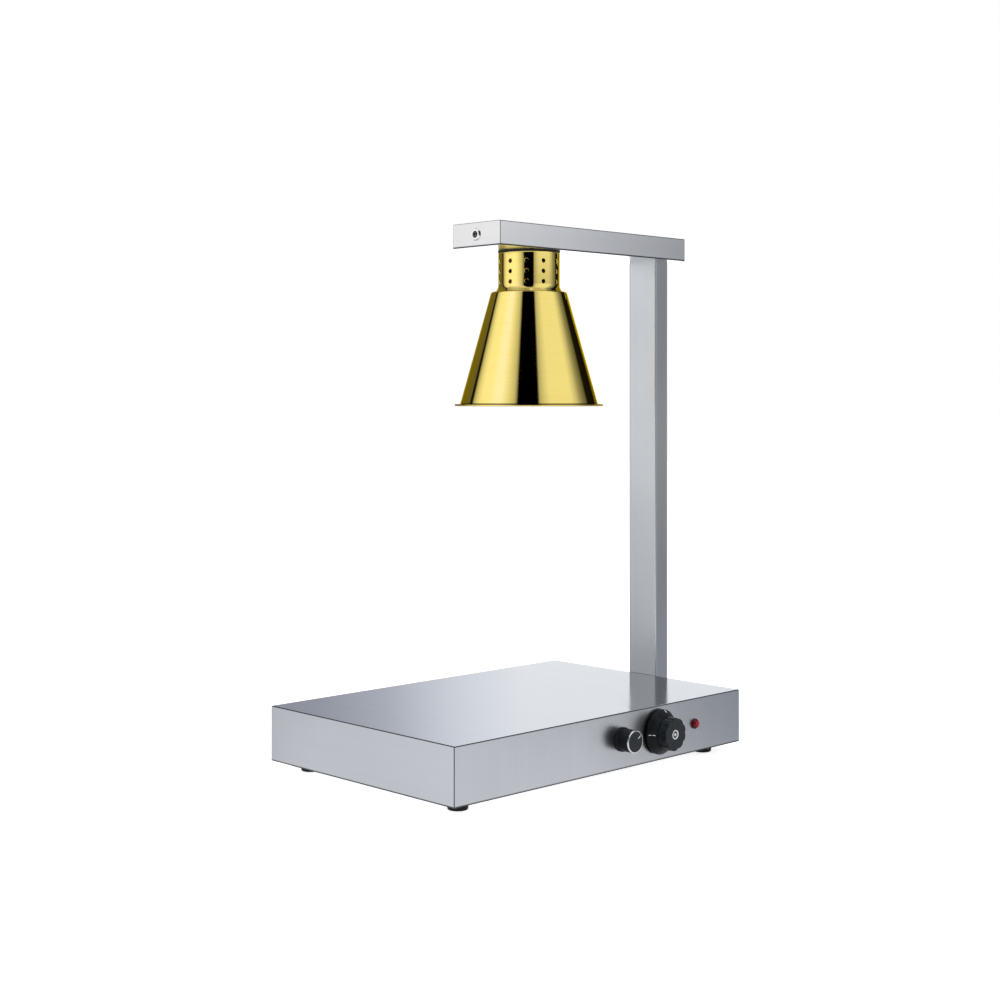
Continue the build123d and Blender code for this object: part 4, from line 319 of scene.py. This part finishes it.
def wool_slab(low, high, around=160, up=41):
    """Soft slab: a superellipsoid, whose level cuts are rounded rectangles of power 12 and whose upright cuts
    bulge with power 5, with its top and bottom drawn in by slow waves in x and y."""
    middle, size = (low + high) / 2, (high - low) / 2
    turn = np.linspace(0, 2 * np.pi, around, endpoint=False)[None, :]
    rise = np.linspace(-np.pi / 2, np.pi / 2, up)[:, None]

    def power(wave, exponent):
        return np.sign(wave) * np.abs(wave) ** (2 / exponent)

    reach = power(np.cos(rise), 5)
    x = middle[0] + size[0] * reach * power(np.cos(turn), 12)
    y = middle[1] + size[1] * reach * power(np.sin(turn), 12)
    wave = 0.9 + 0.1 * np.sin(37 * x + 5 * np.sin(23 * y)) * np.cos(41 * y)
    z = middle[2] + size[2] * power(np.sin(rise), 5) * wave
    return np.stack([x, y, z + 0 * turn], axis=-1)


blanket_low, blanket_high = np.array(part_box("insulation_blanket"))
blanket = piece_of("wool_blanket", wool_slab(blanket_low, blanket_high), wrap_columns=True)
strand_scale = (300, 900, 1200)
wool_dark, wool_light = (0.34, 0.3, 0.2, 1.0), (0.68, 0.63, 0.48, 1.0)
wool, wool_tree, wool_surface = finish_of("mineral_wool", Roughness=0.95)
wool_spot = place(wool_tree, "ShaderNodeTexCoord").outputs["Object"]
strand_spot = scaled(wool_tree, wool_spot, strand_scale)
strand = speckle(wool_tree, strand_spot, scale=1.0, detail=6.0, distortion=1.5)
wool_tone = toned(wool_tree, strand, wool_dark, wool_light)
wool_relief = raised(wool_tree, strand, strength=0.8, depth=0.001)
feed(wool_tree, wool_surface, {"Base Color": wool_tone, "Normal": wool_relief})
blanket.data.materials.append(wool)
dress(wool, "insulation_blanket")
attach(blanket, "station")
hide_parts("insulation_blanket")


# Switch gear and mouldings: the bodies of the thermostat, dimmer and indicator, the terminal block, the cord
# gland, the column's plug and the ring over the lamp. They are black thermosets and nylon, moulded with a
# fine satin skin, and held by screws or nuts or pressed in.
black_moulding = clouded(
    "black_moulding", (0.012, 0.013, 0.014, 1.0), (0.022, 0.023, 0.025, 1.0), gloss=(0.32, 0.46),
    cloud_scale=70.0, bump=0.25, speck_scale=1400.0, Specular_IOR_Level=0.15,
)
dress(
    black_moulding, "thermostat_body", "dimmer_body", "indicator_body", "column_plug", "lamp_mount_ring",
    "gland_body", "gland_dome_nut", "gland_locknut", "terminal_block",
)


# Knobs: black thermoset mouldings pressed on their spindles, the thermostat's with a pebbled skirt and a
# scalloped grip. Their fronts, the faces that look straight out from the panel, get a painted sheen of
# lighter grey.
black_deep, black_worn = (0.006, 0.0075, 0.0095, 1.0), (0.015, 0.0185, 0.022, 1.0)
front_sheen_grey = (0.028, 0.035, 0.041, 1.0)
sheen_starts, sheen_full, sheen_share = -0.9, -0.99, 0.9
knob_black, knob_tree, knob_surface = finish_of("knob_black", Specular_IOR_Level=0.1)
knob_spot = place(knob_tree, "ShaderNodeTexCoord").outputs
pebble = place(knob_tree, "ShaderNodeTexVoronoi", {"Vector": knob_spot["Object"], "Scale": 900.0})
knob_dull = add_effect(knob_tree, haze, Vector=knob_spot["Object"], Scale=80.0)["Mask"]
knob_tone = toned(knob_tree, knob_dull, black_deep, black_worn)
# Painted sheen: faces that look straight out from the panel turn lighter grey.
knob_facing = axes_of(knob_tree, knob_spot["Normal"])["Y"]
front_sheen = eased(knob_tree, knob_facing, sheen_starts, sheen_full, high=sheen_share)
knob_tone = toned(knob_tree, front_sheen, knob_tone, front_sheen_grey)
knob_rough = eased(knob_tree, knob_dull, 0.0, 1.0, low=0.3, high=0.42)
knob_relief = raised(knob_tree, pebble.outputs["Distance"], strength=0.5, depth=0.0004)
feed(knob_tree, knob_surface, {"Base Color": knob_tone, "Roughness": knob_rough, "Normal": knob_relief})
dress(knob_black, "thermostat_knob", "dimmer_knob")


# Marks on the skirt: white print, a broad bar for off, a number and a tick at each setting and a dot at half
# turn. They are raised by the thickness of the paint on the skirt's cone.
millimetre = 0.001


def cone_stroke(path, width, centre, clock):
    """Painted stroke on the skirt. path holds (across, outward) points in millimetres about a place on the
    cone at a clockwise angle from the top. Each point has four corners: half a width to either side, in and
    above the cone. across turns about the axis, and outward runs down the slope to the rim."""
    rim_radius, rim_height, bevel_radius, bevel_height = 29.0, 5.4, 22.0, 15.4
    paint, sunk = 0.05, -0.02
    path = np.array(path, float)
    step = np.gradient(path, axis=0)
    step /= np.linalg.norm(step, axis=1, keepdims=True)
    side = np.stack([-step[:, 1], step[:, 0]], axis=1) * width / 2
    flat = np.stack([path + side, path - side, path - side, path + side], axis=0)
    lift = np.array([paint, paint, sunk, sunk])[:, None]
    slope = np.hypot(rim_radius - bevel_radius, bevel_height - rim_height)
    share = 0.5 + flat[..., 1] / slope
    out = np.array([bevel_height - rim_height, rim_radius - bevel_radius]) / slope
    radius = bevel_radius + (rim_radius - bevel_radius) * share + lift * out[0]
    height = bevel_height + (rim_height - bevel_height) * share + lift * out[1]
    angle = np.radians(clock) + flat[..., 0] / radius
    spot = np.stack([radius * np.sin(angle), -height, radius * np.cos(angle)], axis=-1)
    return centre + spot * millimetre


dial_low, dial_high = np.array(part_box("thermostat_knob"))
dial_centre = (dial_low + dial_high) / 2
dial_centre[1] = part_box("base_cover")[0][1]
hook = np.linspace(np.pi, -0.2 * np.pi, 9)
bowl = np.linspace(0, 2 * np.pi, 17)[:12]
digit_strokes = {
    "1": [[(-0.6, 0.9), (0.1, 1.6), (0.1, 0.0), (0.1, -1.6)]],
    "2": [
        np.vstack([np.stack([0.9 * np.cos(hook), 0.7 + 0.9 * np.sin(hook)], axis=1), [(-1.0, -1.6)]]),
        [(-1.0, -1.6), (0.0, -1.6), (1.0, -1.6)],
    ],
    "3": [
        np.stack([0.9 * np.sin(0.8 * bowl), 0.8 + 0.8 * np.cos(0.8 * bowl)], axis=1),
        np.stack([np.sin(0.85 * bowl), -0.8 + 0.8 * np.cos(0.85 * bowl)], axis=1),
    ],
    "4": [
        [(0.5, -1.6), (0.5, 0.0), (0.5, 1.6)],
        [(0.5, 1.6), (-0.3, 0.4), (-1.1, -0.7)],
        [(-1.1, -0.7), (1.0, -0.7)],
    ],
}
setting_clocks = {"1": 270.0, "2": 131.0, "3": 86.0, "4": 41.0}
off_clock, half_clock = 9.0, 180.0
bar_width, line_width = 1.5, 0.95
digit_middle = (0.0, 2.4)
off_bar, dot = [(0.0, 5.2), (0.0, 2.8), (0.0, 0.4)], [(-0.35, -3.6), (0.35, -3.6)]
tick = [(0.0, -0.9), (0.0, -2.6), (0.0, -4.3)]
strokes = [(off_bar, bar_width, off_clock), (dot, line_width, half_clock)]
for digit, clock in setting_clocks.items():
    strokes += [(np.array(path, float) + digit_middle, line_width, clock) for path in digit_strokes[digit]]
    strokes.append((tick, line_width, clock))
print_thin, print_full = (0.78, 0.78, 0.77, 1.0), (0.95, 0.95, 0.94, 1.0)
white_print, print_tree, print_surface = finish_of("white_print", Roughness=0.55)
print_spot = place(print_tree, "ShaderNodeTexCoord").outputs["Object"]
print_cover = speckle(print_tree, print_spot, scale=2200.0, detail=3.0)
print_tone = toned(print_tree, print_cover, print_thin, print_full)
feed(print_tree, print_surface, {"Base Color": print_tone})
for number, (path, width, clock) in enumerate(strokes):
    grid = cone_stroke(path, width, dial_centre, clock)
    mark = piece_of(f"dial_mark_{number:02d}", grid, wrap_rows=True)
    closing = bmesh.new()
    closing.from_mesh(mark.data)
    bmesh.ops.holes_fill(closing, edges=closing.edges, sides=4)
    bmesh.ops.recalc_face_normals(closing, faces=closing.faces)
    closing.to_mesh(mark.data)
    closing.free()
    mark.data.shade_flat()
    mark.data.materials.append(white_print)
    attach(mark, "thermostat_dial")


# Bright trim: the cap in the grip, the ring round the dimmer's face and the washer on the arm's end, turned
# and chromium plated. The cap is pressed in, and has a groove filled with black enamel.
def ring_about(centre, profile, around=96):
    """Turned surface about a knob's axis: each (radius, distance behind the front) point of the profile, in
    metres, goes round the axis through the centre."""
    turn = np.linspace(0, 2 * np.pi, around, endpoint=False)[None, :]
    x = centre[0] + profile[:, :1] * np.cos(turn)
    z = centre[2] + profile[:, :1] * np.sin(turn)
    y = centre[1] + profile[:, 1:] + 0 * turn
    return np.stack([x, y, z], axis=-1)


def grooved_cap(radius, depth):
    """Half section of the cap: a crowned middle, a groove with sloping walls, a quarter-round rim, a straight
    side and a flat back. Shares of radius and depth."""
    crown = np.linspace(0, 0.3, 6)
    rim = np.linspace(0, np.pi / 2, 7)
    shares = np.vstack([
        np.stack([crown, 0.05 + 0.1 * (crown / 0.3) ** 2], axis=1),
        [(0.34, 0.55), (0.68, 0.55), (0.72, 0.1), (0.78, 0.0), (0.84, 0.0)],
        np.stack([0.88 + 0.12 * np.sin(rim), 0.18 - 0.18 * np.cos(rim)], axis=1),
        [(1.0, 0.6), (1.0, 1.0), (0.5, 1.0), (0.0, 1.0)],
    ])
    return shares * (radius, depth)


chrome = clouded(
    "bright_chrome", (0.66, 0.67, 0.68, 1.0), (0.82, 0.83, 0.84, 1.0), gloss=(0.08, 0.16),
    cloud_scale=150.0, bump=0.04, speck_scale=1500.0, Metallic=1.0,
)
dress(chrome, "dimmer_knob_ring", "thermostat_knob_cap", "end_cap_washer")
cap_low, cap_high = np.array(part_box("thermostat_knob_cap"))
cap_radius = (cap_high[0] - cap_low[0]) / 2
cap_depth = cap_high[1] - cap_low[1]
cap_centre = (cap_low + cap_high) / 2
cap_centre[1] = cap_low[1]
cap = piece_of("dial_cap", ring_about(cap_centre, grooved_cap(cap_radius, cap_depth)), wrap_columns=True)
cap.data.materials.append(chrome)
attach(cap, "thermostat_dial")
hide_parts("thermostat_knob_cap")
fill_shares = np.array([(0.335, 0.5), (0.4, 0.4), (0.63, 0.4), (0.69, 0.5), (0.69, 0.56), (0.335, 0.56)])
fill_ring = ring_about(cap_centre, fill_shares * (cap_radius, cap_depth))
cap_fill = piece_of("dial_cap_fill", fill_ring, wrap_rows=True, wrap_columns=True)
cap_fill.data.materials.append(black_moulding)
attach(cap_fill, "thermostat_dial")


# Pointer line: white paint wiped into the groove that is moulded in the dimmer's face. It fills the groove to
# just under the face.
def paint_fill(centre, clock, inner, outer, width, floor, top, around=48):
    """Slab with round ends in a groove: a stadium outline that runs from inner to outer along a clockwise
    angle from the top, lifted from the groove's floor to a crowned top, all in millimetres. Rows go bottom
    middle, bottom edge, top edge, crown, top middle."""
    turn = np.linspace(0, 2 * np.pi, around, endpoint=False)
    end = width / 2
    run = np.where(np.cos(turn) > 0, outer - end, inner + end) + end * np.cos(turn)
    side = end * np.sin(turn)
    middle = (inner + outer) / 2
    rings = [(0.0, floor), (1.0, floor), (1.0, top * 0.8 + floor * 0.2), (0.8, top), (0.0, top)]
    share = np.array([ring[0] for ring in rings])[:, None]
    height = np.array([ring[1] for ring in rings])[:, None] + 0 * turn
    along = middle + (run - middle) * share
    across = side * share
    angle = np.radians(clock)
    x = along * np.sin(angle) + across * np.cos(angle)
    z = along * np.cos(angle) - across * np.sin(angle)
    return centre + np.stack([x, -height, z], axis=-1) * millimetre


dimmer_low, dimmer_high = np.array(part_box("dimmer_knob"))
face_centre = (dimmer_low + dimmer_high) / 2
face_centre[1] = dimmer_low[1]
pointer_paint = paint_fill(face_centre, clock=56.0, inner=5.7, outer=12.2, width=0.95, floor=-0.4, top=-0.02)
pointer = piece_of("dimmer_pointer", pointer_paint, wrap_columns=True)
pointer.data.materials.append(white_print)
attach(pointer, "dimmer_dial")


# Indicator: a red acrylic lens, moulded with ribs on its inside and held in the panel by its body and nut.
# Its middle is painted brighter as a glow, which fades to deep red at its rim.
lens_painted_glow, lens_deep = (0.62, 0.012, 0.035, 1.0), (0.1, 0.0, 0.004, 1.0)
lens_rim, rib_scale, rib_share = 0.006, 180.0, 0.25
red_lens, lens_tree, lens_surface = finish_of("red_lens", Roughness=0.1, Specular_IOR_Level=0.3)
lens_low, lens_high = np.array(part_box("indicator_lens"))
lens_shift = tuple(-(lens_low + lens_high) / 2)
lens_spot = place(lens_tree, "ShaderNodeTexCoord").outputs["Object"]
lens_local = place(lens_tree, "ShaderNodeMapping", {"Vector": lens_spot, "Location": lens_shift}).outputs[0]
lens_axes = axes_of(lens_tree, lens_local)
lens_flat = place(lens_tree, "ShaderNodeCombineXYZ", {"X": lens_axes["X"], "Z": lens_axes["Z"]}).outputs[0]
lens_reach = place(lens_tree, "ShaderNodeVectorMath", {0: lens_flat}, operation="LENGTH").outputs["Value"]
lens_ribs = place(
    lens_tree, "ShaderNodeTexWave", {"Vector": lens_flat, "Scale": rib_scale},
    wave_type="RINGS", rings_direction="SPHERICAL",
).outputs["Fac"]
# Painted glow: bright red at the lens's middle, fading to deep red at its rim.
glow_fade = eased(lens_tree, lens_reach, 0.0, lens_rim)
lens_share = worked(lens_tree, "MULTIPLY_ADD", lens_ribs, rib_share, glow_fade)
feed(lens_tree, lens_surface, {"Base Color": toned(lens_tree, lens_share, lens_painted_glow, lens_deep)})
dress(red_lens, "indicator_lens")


# Wiring: a heat-proof lamp cable in the column and arm, and single leads in the base. They are copper in dull
# silicone sleeving, pushed into terminals at their ends.
cable_sheath = clouded(
    "silicone_sheath", (0.1, 0.1, 0.105, 1.0), (0.2, 0.2, 0.2, 1.0), gloss=(0.45, 0.6),
    cloud_scale=60.0, bump=0.15, speck_scale=1000.0,
)
dress(cable_sheath, "lamp_cable", "base_leads")


# Column: a rectangular stainless tube, ground along its length. Bolts and a nut plate inside its foot hold it
# to the right-hand end of the base.
column_steel = ground_metal(
    "ground_stainless_column", (0.5, 0.518, 0.545, 1.0), (0.58, 0.603, 0.625, 1.0), gloss=(0.22, 0.28),
    grain_scale=(1400, 1400, 6), shaded_bends=False,
)
dress(column_steel, "column_tube")


# Arm: a stainless box folded from sheet, ground finer than the base and painted brighter: its lighter tone is
# partly a brighter polish and partly painted light. A cap closes its front, held by a blackened screw in a
# bright cup washer. Painted shade darkens the bends and lower edges of box and cap.
arm_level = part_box("arm_tube")[0][2]
arm_steel = ground_metal(
    "ground_stainless_arm", (0.76, 0.77, 0.79, 1.0), (0.88, 0.89, 0.905, 1.0), gloss=(0.2, 0.26),
    grain_scale=(6, 1400, 1400), edge_shade_level=arm_level,
)
dress(arm_steel, "arm_tube")
end_steel = ground_metal(
    "ground_stainless_end", (0.645, 0.645, 0.65, 1.0), (0.78, 0.78, 0.785, 1.0), gloss=(0.2, 0.26),
    grain_scale=(1400, 6, 1400), edge_shade_level=arm_level,
)
dress(end_steel, "arm_end_cap")
black_oxide = clouded(
    "black_oxide_steel", (0.05, 0.052, 0.056, 1.0), (0.12, 0.122, 0.127, 1.0), gloss=(0.25, 0.38),
    cloud_scale=150.0, bump=0.1, speck_scale=1800.0, Metallic=1.0,
)
dress(black_oxide, "end_cap_screw")


# Lamp collar and shade: brass sheet spun on a lathe and lacquered, with faint rings from the spinning tool.
# They hang under the arm from the lamp nipple. Painted shade darkens the corner between cone and lip.
lip_thickness, corner_starts, corner_full = 0.0026, 0.0016, 0.0006
lip_corner_shade = (0.05, 0.032, 0.006, 1.0)
brass = ground_metal(
    "spun_brass", (0.76, 0.605, 0.16, 1.0), (0.92, 0.757, 0.25, 1.0), gloss=(0.03, 0.06),
    grain_scale=(14, 14, 900), bump=0.04, shaded_bends=False, Specular_Tint=(0.6, 0.45, 0.02, 1.0),
)
brass_tree = brass.node_tree
brass_surface = brass_tree.nodes["Principled BSDF"]
unshaded_brass = brass_surface.inputs["Base Color"].links[0].from_socket
lip_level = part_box("lamp_shade")[0][2] + lip_thickness
brass_spot = place(brass_tree, "ShaderNodeTexCoord").outputs["Object"]
brass_height = axes_of(brass_tree, brass_spot)["Z"]
# Painted shade: a dark band on the cone just above the lip.
corner = eased(brass_tree, brass_height, lip_level + corner_starts, lip_level + corner_full)
above_lip = worked(brass_tree, "GREATER_THAN", brass_height, lip_level - corner_full)
lip_corner_shade_share = worked(brass_tree, "MULTIPLY", corner, above_lip)
brass_tone = toned(brass_tree, lip_corner_shade_share, unshaded_brass, lip_corner_shade)
feed(brass_tree, brass_surface, {"Base Color": brass_tone})
dress(brass, "lamp_collar", "lamp_shade")


# Bulb: a reflector bulb of pressed glass, silvered inside behind its rim and frosted on its face. It screws
# into the lampholder by its cap.
rim_height, silver_edge = 0.014, 0.002
frost_dark, frost_light = (0.66, 0.66, 0.64, 1.0), (0.86, 0.86, 0.84, 1.0)
bulb_silver = (0.78, 0.79, 0.8, 1.0)
bulb_finish, bulb_tree, bulb_surface = finish_of("silvered_bulb_glass", Roughness=0.3, Coat_Weight=0.6)
bulb_spot = place(bulb_tree, "ShaderNodeTexCoord").outputs["Object"]
bulb_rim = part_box("bulb_glass")[0][2] + rim_height
silver = eased(bulb_tree, axes_of(bulb_tree, bulb_spot)["Z"], bulb_rim, bulb_rim + silver_edge)
frost = speckle(bulb_tree, bulb_spot, scale=700.0, detail=4.0)
bulb_tone = toned(bulb_tree, silver, toned(bulb_tree, frost, frost_dark, frost_light), bulb_silver)
bulb_relief = raised(bulb_tree, frost, strength=0.2, depth=0.0003)
feed(bulb_tree, bulb_surface, {"Base Color": bulb_tone, "Metallic": silver, "Normal": bulb_relief})
dress(bulb_finish, "bulb_glass")


# Lampholder: a body of porcelain, pressed, glazed dark brown and fired. It is screwed up inside the collar on
# the lamp nipple.
brown_glaze = clouded(
    "brown_glazed_porcelain", (0.014, 0.009, 0.006, 1.0), (0.03, 0.018, 0.011, 1.0), gloss=(0.2, 0.35),
    cloud_scale=60.0, bump=0.15, speck_scale=900.0,
)
dress(brown_glaze, "lampholder_body")


# Floor: a plain white sweep. It shows white to the camera, keeps a soft shadow, and gives the metal a glow
# that falls off to the back, where the studio is open.
def flat_sheet(name, reach, across=3):
    """Square sheet on the ground: x and y each run from -reach to reach."""
    run = np.linspace(-reach, reach, across)
    x, y = np.meshgrid(run, run, indexing="ij")
    return piece_of(name, np.stack([x, y, 0 * x], axis=-1))


def set_stops(ramp, stops, low, high):
    """Give a colour ramp its (place, level) or (place, red, green, blue) stops, places from low to high."""
    while len(ramp.elements) < len(stops):
        ramp.elements.new(1.0)
    for stop, (where, *light) in zip(ramp.elements, stops):
        stop.position = (where - low) / (high - low)
        stop.color = (*(light * 3)[:3], 1.0)


floor = flat_sheet("floor", reach=8.0)
glow_run, glow_reach = (0.784, 0.632, 0.0), 0.5
glow_stops = [
    (-0.4, 1.1), (-0.31, 1.03), (-0.15, 0.98), (-0.1, 0.87), (0.02, 0.635), (0.1, 0.5, 0.51, 0.545),
    (0.25, 0.395, 0.405, 0.445),
]
added_white = 0.74
floor_finish, floor_tree, floor_surface = finish_of(
    "white_sweep", Base_Color=(0.8, 0.8, 0.8, 1.0), Roughness=1.0, Specular_IOR_Level=0.0
)
floor_path = place(floor_tree, "ShaderNodeLightPath").outputs
floor_spot = place(floor_tree, "ShaderNodeTexCoord").outputs["Object"]
along_glow = place(
    floor_tree, "ShaderNodeVectorMath", {0: floor_spot, 1: glow_run}, operation="DOT_PRODUCT"
).outputs["Value"]
glow_place = eased(floor_tree, along_glow, -glow_reach, glow_reach)
glow = place(floor_tree, "ShaderNodeValToRGB", {"Fac": glow_place})
set_stops(glow.color_ramp, glow_stops, -glow_reach, glow_reach)
metal_view = place(floor_tree, "ShaderNodeEmission", {"Color": glow.outputs[0]}).outputs[0]
floor_seen = worked(floor_tree, "MAXIMUM", floor_path["Is Camera Ray"], floor_path["Is Transmission Ray"])
floor_white = worked(floor_tree, "MULTIPLY", floor_seen, added_white)
camera_view = {"Color": (1.0, 1.0, 1.0, 1.0), "Strength": floor_white}
camera_view = place(floor_tree, "ShaderNodeEmission", camera_view).outputs[0]
shadowed = place(floor_tree, "ShaderNodeAddShader", {0: floor_surface.outputs[0], 1: camera_view}).outputs[0]
floor_views = {0: floor_path["Is Glossy Ray"], 1: shadowed, 2: metal_view}
floor_shader = place(floor_tree, "ShaderNodeMixShader", floor_views).outputs[0]
feed(floor_tree, floor_tree.nodes["Material Output"], {"Surface": floor_shader})
floor.data.materials.append(floor_finish)


# Studio wall: soft boxes to the left and right, black flags in front and on both sides, open white behind,
# and a cooler window high in the left box. Only the gloss of metal and plastic sees it.
def round_wall(name, reach, low, high, around=180, up=9):
    """Upright round wall: a circle of that reach in x and y, carried from low to high."""
    turn = np.linspace(0, 2 * np.pi, around, endpoint=False)[None, :]
    z = np.linspace(low, high, up)[:, None]
    x, y = reach * np.cos(turn) + 0 * z, reach * np.sin(turn) + 0 * z
    return piece_of(name, np.stack([x, y, z + 0 * turn], axis=-1), wrap_columns=True)


wall = round_wall("studio_wall", reach=2.0, low=-0.01, high=7.0)
wall_finish, wall_tree = finish_of("studio_light")[:2]
wall_axes = axes_of(wall_tree, place(wall_tree, "ShaderNodeTexCoord").outputs["Object"])
wall_height = wall_axes["Z"]

# The light round the wall, in degrees from the camera's side and turning to the right. A place round the wall
# is in turns, with the camera's side at half a turn.
a_turn, camera_turns, camera_place = 2 * np.pi, 0.875, 0.5
box_stops = [
    (-180, 1.66, 1.69, 1.71), (-175, 1.36, 1.39, 1.48), (-170, 0.89, 0.91, 1.0), (-165, 0.64, 0.66, 0.75),
    (-160, 0.55, 0.57, 0.66), (-150, 0.3, 0.29, 0.25), (-128, 0.19, 0.175, 0.13), (-120, 0.17, 0.157, 0.115),
    (-118, 0.01), (-112, 0.01), (-109, 0.5), (-100, 0.95), (-90, 1.18), (-76, 1.2), (-62, 1.25, 1.27, 1.3),
    (-50, 1.22, 1.24, 1.26), (-41, 1.06), (-27, 0.68), (-23, 0.4), (-20, 0.0), (16, 0.0), (19, 0.55),
    (27, 0.82), (37, 1.04), (78, 1.06), (90, 0.71, 0.72, 0.75), (98, 0.39, 0.4, 0.42),
    (107, 0.22, 0.23, 0.24), (113, 0.14), (116, 0.01), (142, 0.01), (162, 1.66, 1.69, 1.71),
]
bearing = worked(wall_tree, "ARCTAN2", wall_axes["Y"], wall_axes["X"])
turns = worked(wall_tree, "MULTIPLY_ADD", bearing, 1 / a_turn, camera_turns)
round_place = worked(wall_tree, "FRACT", turns)
from_camera = worked(wall_tree, "SUBTRACT", round_place, camera_place)
boxes = place(wall_tree, "ShaderNodeValToRGB", {"Fac": round_place})
set_stops(boxes.color_ramp, box_stops, -180, 180)

# Its level, by height in metres: the foot of the wall is dimmer, and so is the right box below the lamp.
foot_heights, foot_level = (-0.05, 0.32), 0.58
right_heights, right_level, right_ends = (0.74, 0.86), 0.64, (0.79, 0.74)
foot_fade = eased(wall_tree, wall_height, *foot_heights, low=foot_level)
right_half = worked(wall_tree, "GREATER_THAN", round_place, camera_place)
right_box = worked(wall_tree, "MULTIPLY", right_half, eased(wall_tree, round_place, *right_ends))
right_fade = eased(wall_tree, wall_height, *right_heights, low=right_level)
right_fade = place(wall_tree, "ShaderNodeMix", {"Factor": right_box, 2: 1.0, 3: right_fade}).outputs[0]
wall_level = worked(wall_tree, "MULTIPLY", foot_fade, right_fade)

# Its window, whose daylight tints the left box, by height and by turns from the camera.
window_place, window_edges, window_heights = 0.156, (0.047, 0.017), (0.95, 1.35)
daylight = (1.0, 1.0, 1.4, 1.0)
off_window = worked(wall_tree, "ABSOLUTE", worked(wall_tree, "ADD", from_camera, window_place))
window_side = eased(wall_tree, off_window, *window_edges)
window = worked(wall_tree, "MULTIPLY", window_side, eased(wall_tree, wall_height, *window_heights))
wall_colour = toned(wall_tree, window, boxes.outputs[0], daylight, blend="MULTIPLY")

# Its fill: pale boards low down all round, higher ones behind on both sides, and a grey ceiling.
board_heights, board_level = (0.62, 0.5), 0.5
side_heights, side_level, side_place, side_reach = (0.76, 0.62), 0.7, 0.37, 0.05
ceiling_heights, ceiling_grey = (3.4, 5.0), (0.6, 0.6, 0.6, 1.0)
boards = eased(wall_tree, wall_height, *board_heights, high=board_level)
side_boards = eased(wall_tree, wall_height, *side_heights, high=side_level)
beside = worked(wall_tree, "COMPARE", worked(wall_tree, "ABSOLUTE", from_camera), side_place, side_reach)
fill = worked(wall_tree, "MAXIMUM", worked(wall_tree, "MULTIPLY", side_boards, beside), boards)
wall_colour = toned(wall_tree, 1.0, wall_colour, fill, blend="LIGHTEN")
ceiling = eased(wall_tree, wall_height, *ceiling_heights)
wall_colour = toned(wall_tree, ceiling, wall_colour, ceiling_grey)
wall_light = place(wall_tree, "ShaderNodeEmission", {"Color": wall_colour, "Strength": wall_level}).outputs[0]
feed(wall_tree, wall_tree.nodes["Material Output"], {"Surface": wall_light})
wall.data.materials.append(wall_finish)
wall.visible_camera = False
wall.visible_diffuse = False
wall.visible_shadow = False
wall.visible_transmission = False
wall.visible_volume_scatter = False


# World: the white of an open studio, behind everything that the camera, metal and glass see, and a weaker
# fill on plain surfaces.
fill_level = 0.45
world = bpy.data.worlds.new("studio")
bpy.context.scene.world = world
world.use_nodes = True
sky_tree = world.node_tree
sky_path = place(sky_tree, "ShaderNodeLightPath").outputs
sky_gloss = worked(sky_tree, "MAXIMUM", sky_path["Is Camera Ray"], sky_path["Is Glossy Ray"])
sky_seen = worked(sky_tree, "MAXIMUM", sky_gloss, sky_path["Is Transmission Ray"])
sky_level = eased(sky_tree, sky_seen, 0.0, 1.0, low=fill_level)
feed(sky_tree, sky_tree.nodes["Background"], {"Color": (1.0, 1.0, 1.0, 1.0), "Strength": sky_level})


# Lamps: two large soft boxes beside the station, to the left and in front to the right, and one above it. The
# metal doesn't mirror them, because the studio wall already stands for them there.
def soft_box(name, spot, target, size, power):
    """Rectangular lamp of a size in metres and a power in watts, at a spot and turned to a target."""
    light = bpy.data.lights.new(name, "AREA")
    light.shape = "RECTANGLE"
    light.size, light.size_y = size
    light.energy = power
    lamp = bpy.data.objects.new(name, light)
    bpy.context.scene.collection.objects.link(lamp)
    lamp.location = spot
    lamp.rotation_euler = (Vector(target) - lamp.location).to_track_quat("-Z", "Y").to_euler()
    lamp.visible_glossy = False


soft_box("left_box", spot=(-2.0, 0.3, 1.5), target=(0.0, 0.0, 0.25), size=(1.4, 1.8), power=22.0)
soft_box("right_box", spot=(0.9, -2.0, 1.4), target=(0.0, 0.0, 0.25), size=(1.2, 1.6), power=16.0)
soft_box("top_box", spot=(0.0, 0.2, 2.6), target=(0.0, 0.0, 0.0), size=(2.0, 2.0), power=22.0)


# Camera: at the photograph's place, level, with the frame shifted down to take in the base. Its place, turn,
# lens and shift were fitted to the edges of the base, the column and the arm.
camera_lens = bpy.data.cameras.new("camera")
camera_lens.lens = 58.94
camera_lens.sensor_width = 36.0
camera_lens.shift_y = -0.1021
camera = bpy.data.objects.new("camera", camera_lens)
bpy.context.scene.collection.objects.link(camera)
camera.location = (-1.5515, -1.5494, 0.4821)
camera.rotation_euler = (np.radians(90.0), 0.0, np.radians(-44.251))
bpy.context.scene.camera = camera
bpy.context.scene.view_settings.view_transform = "Standard"
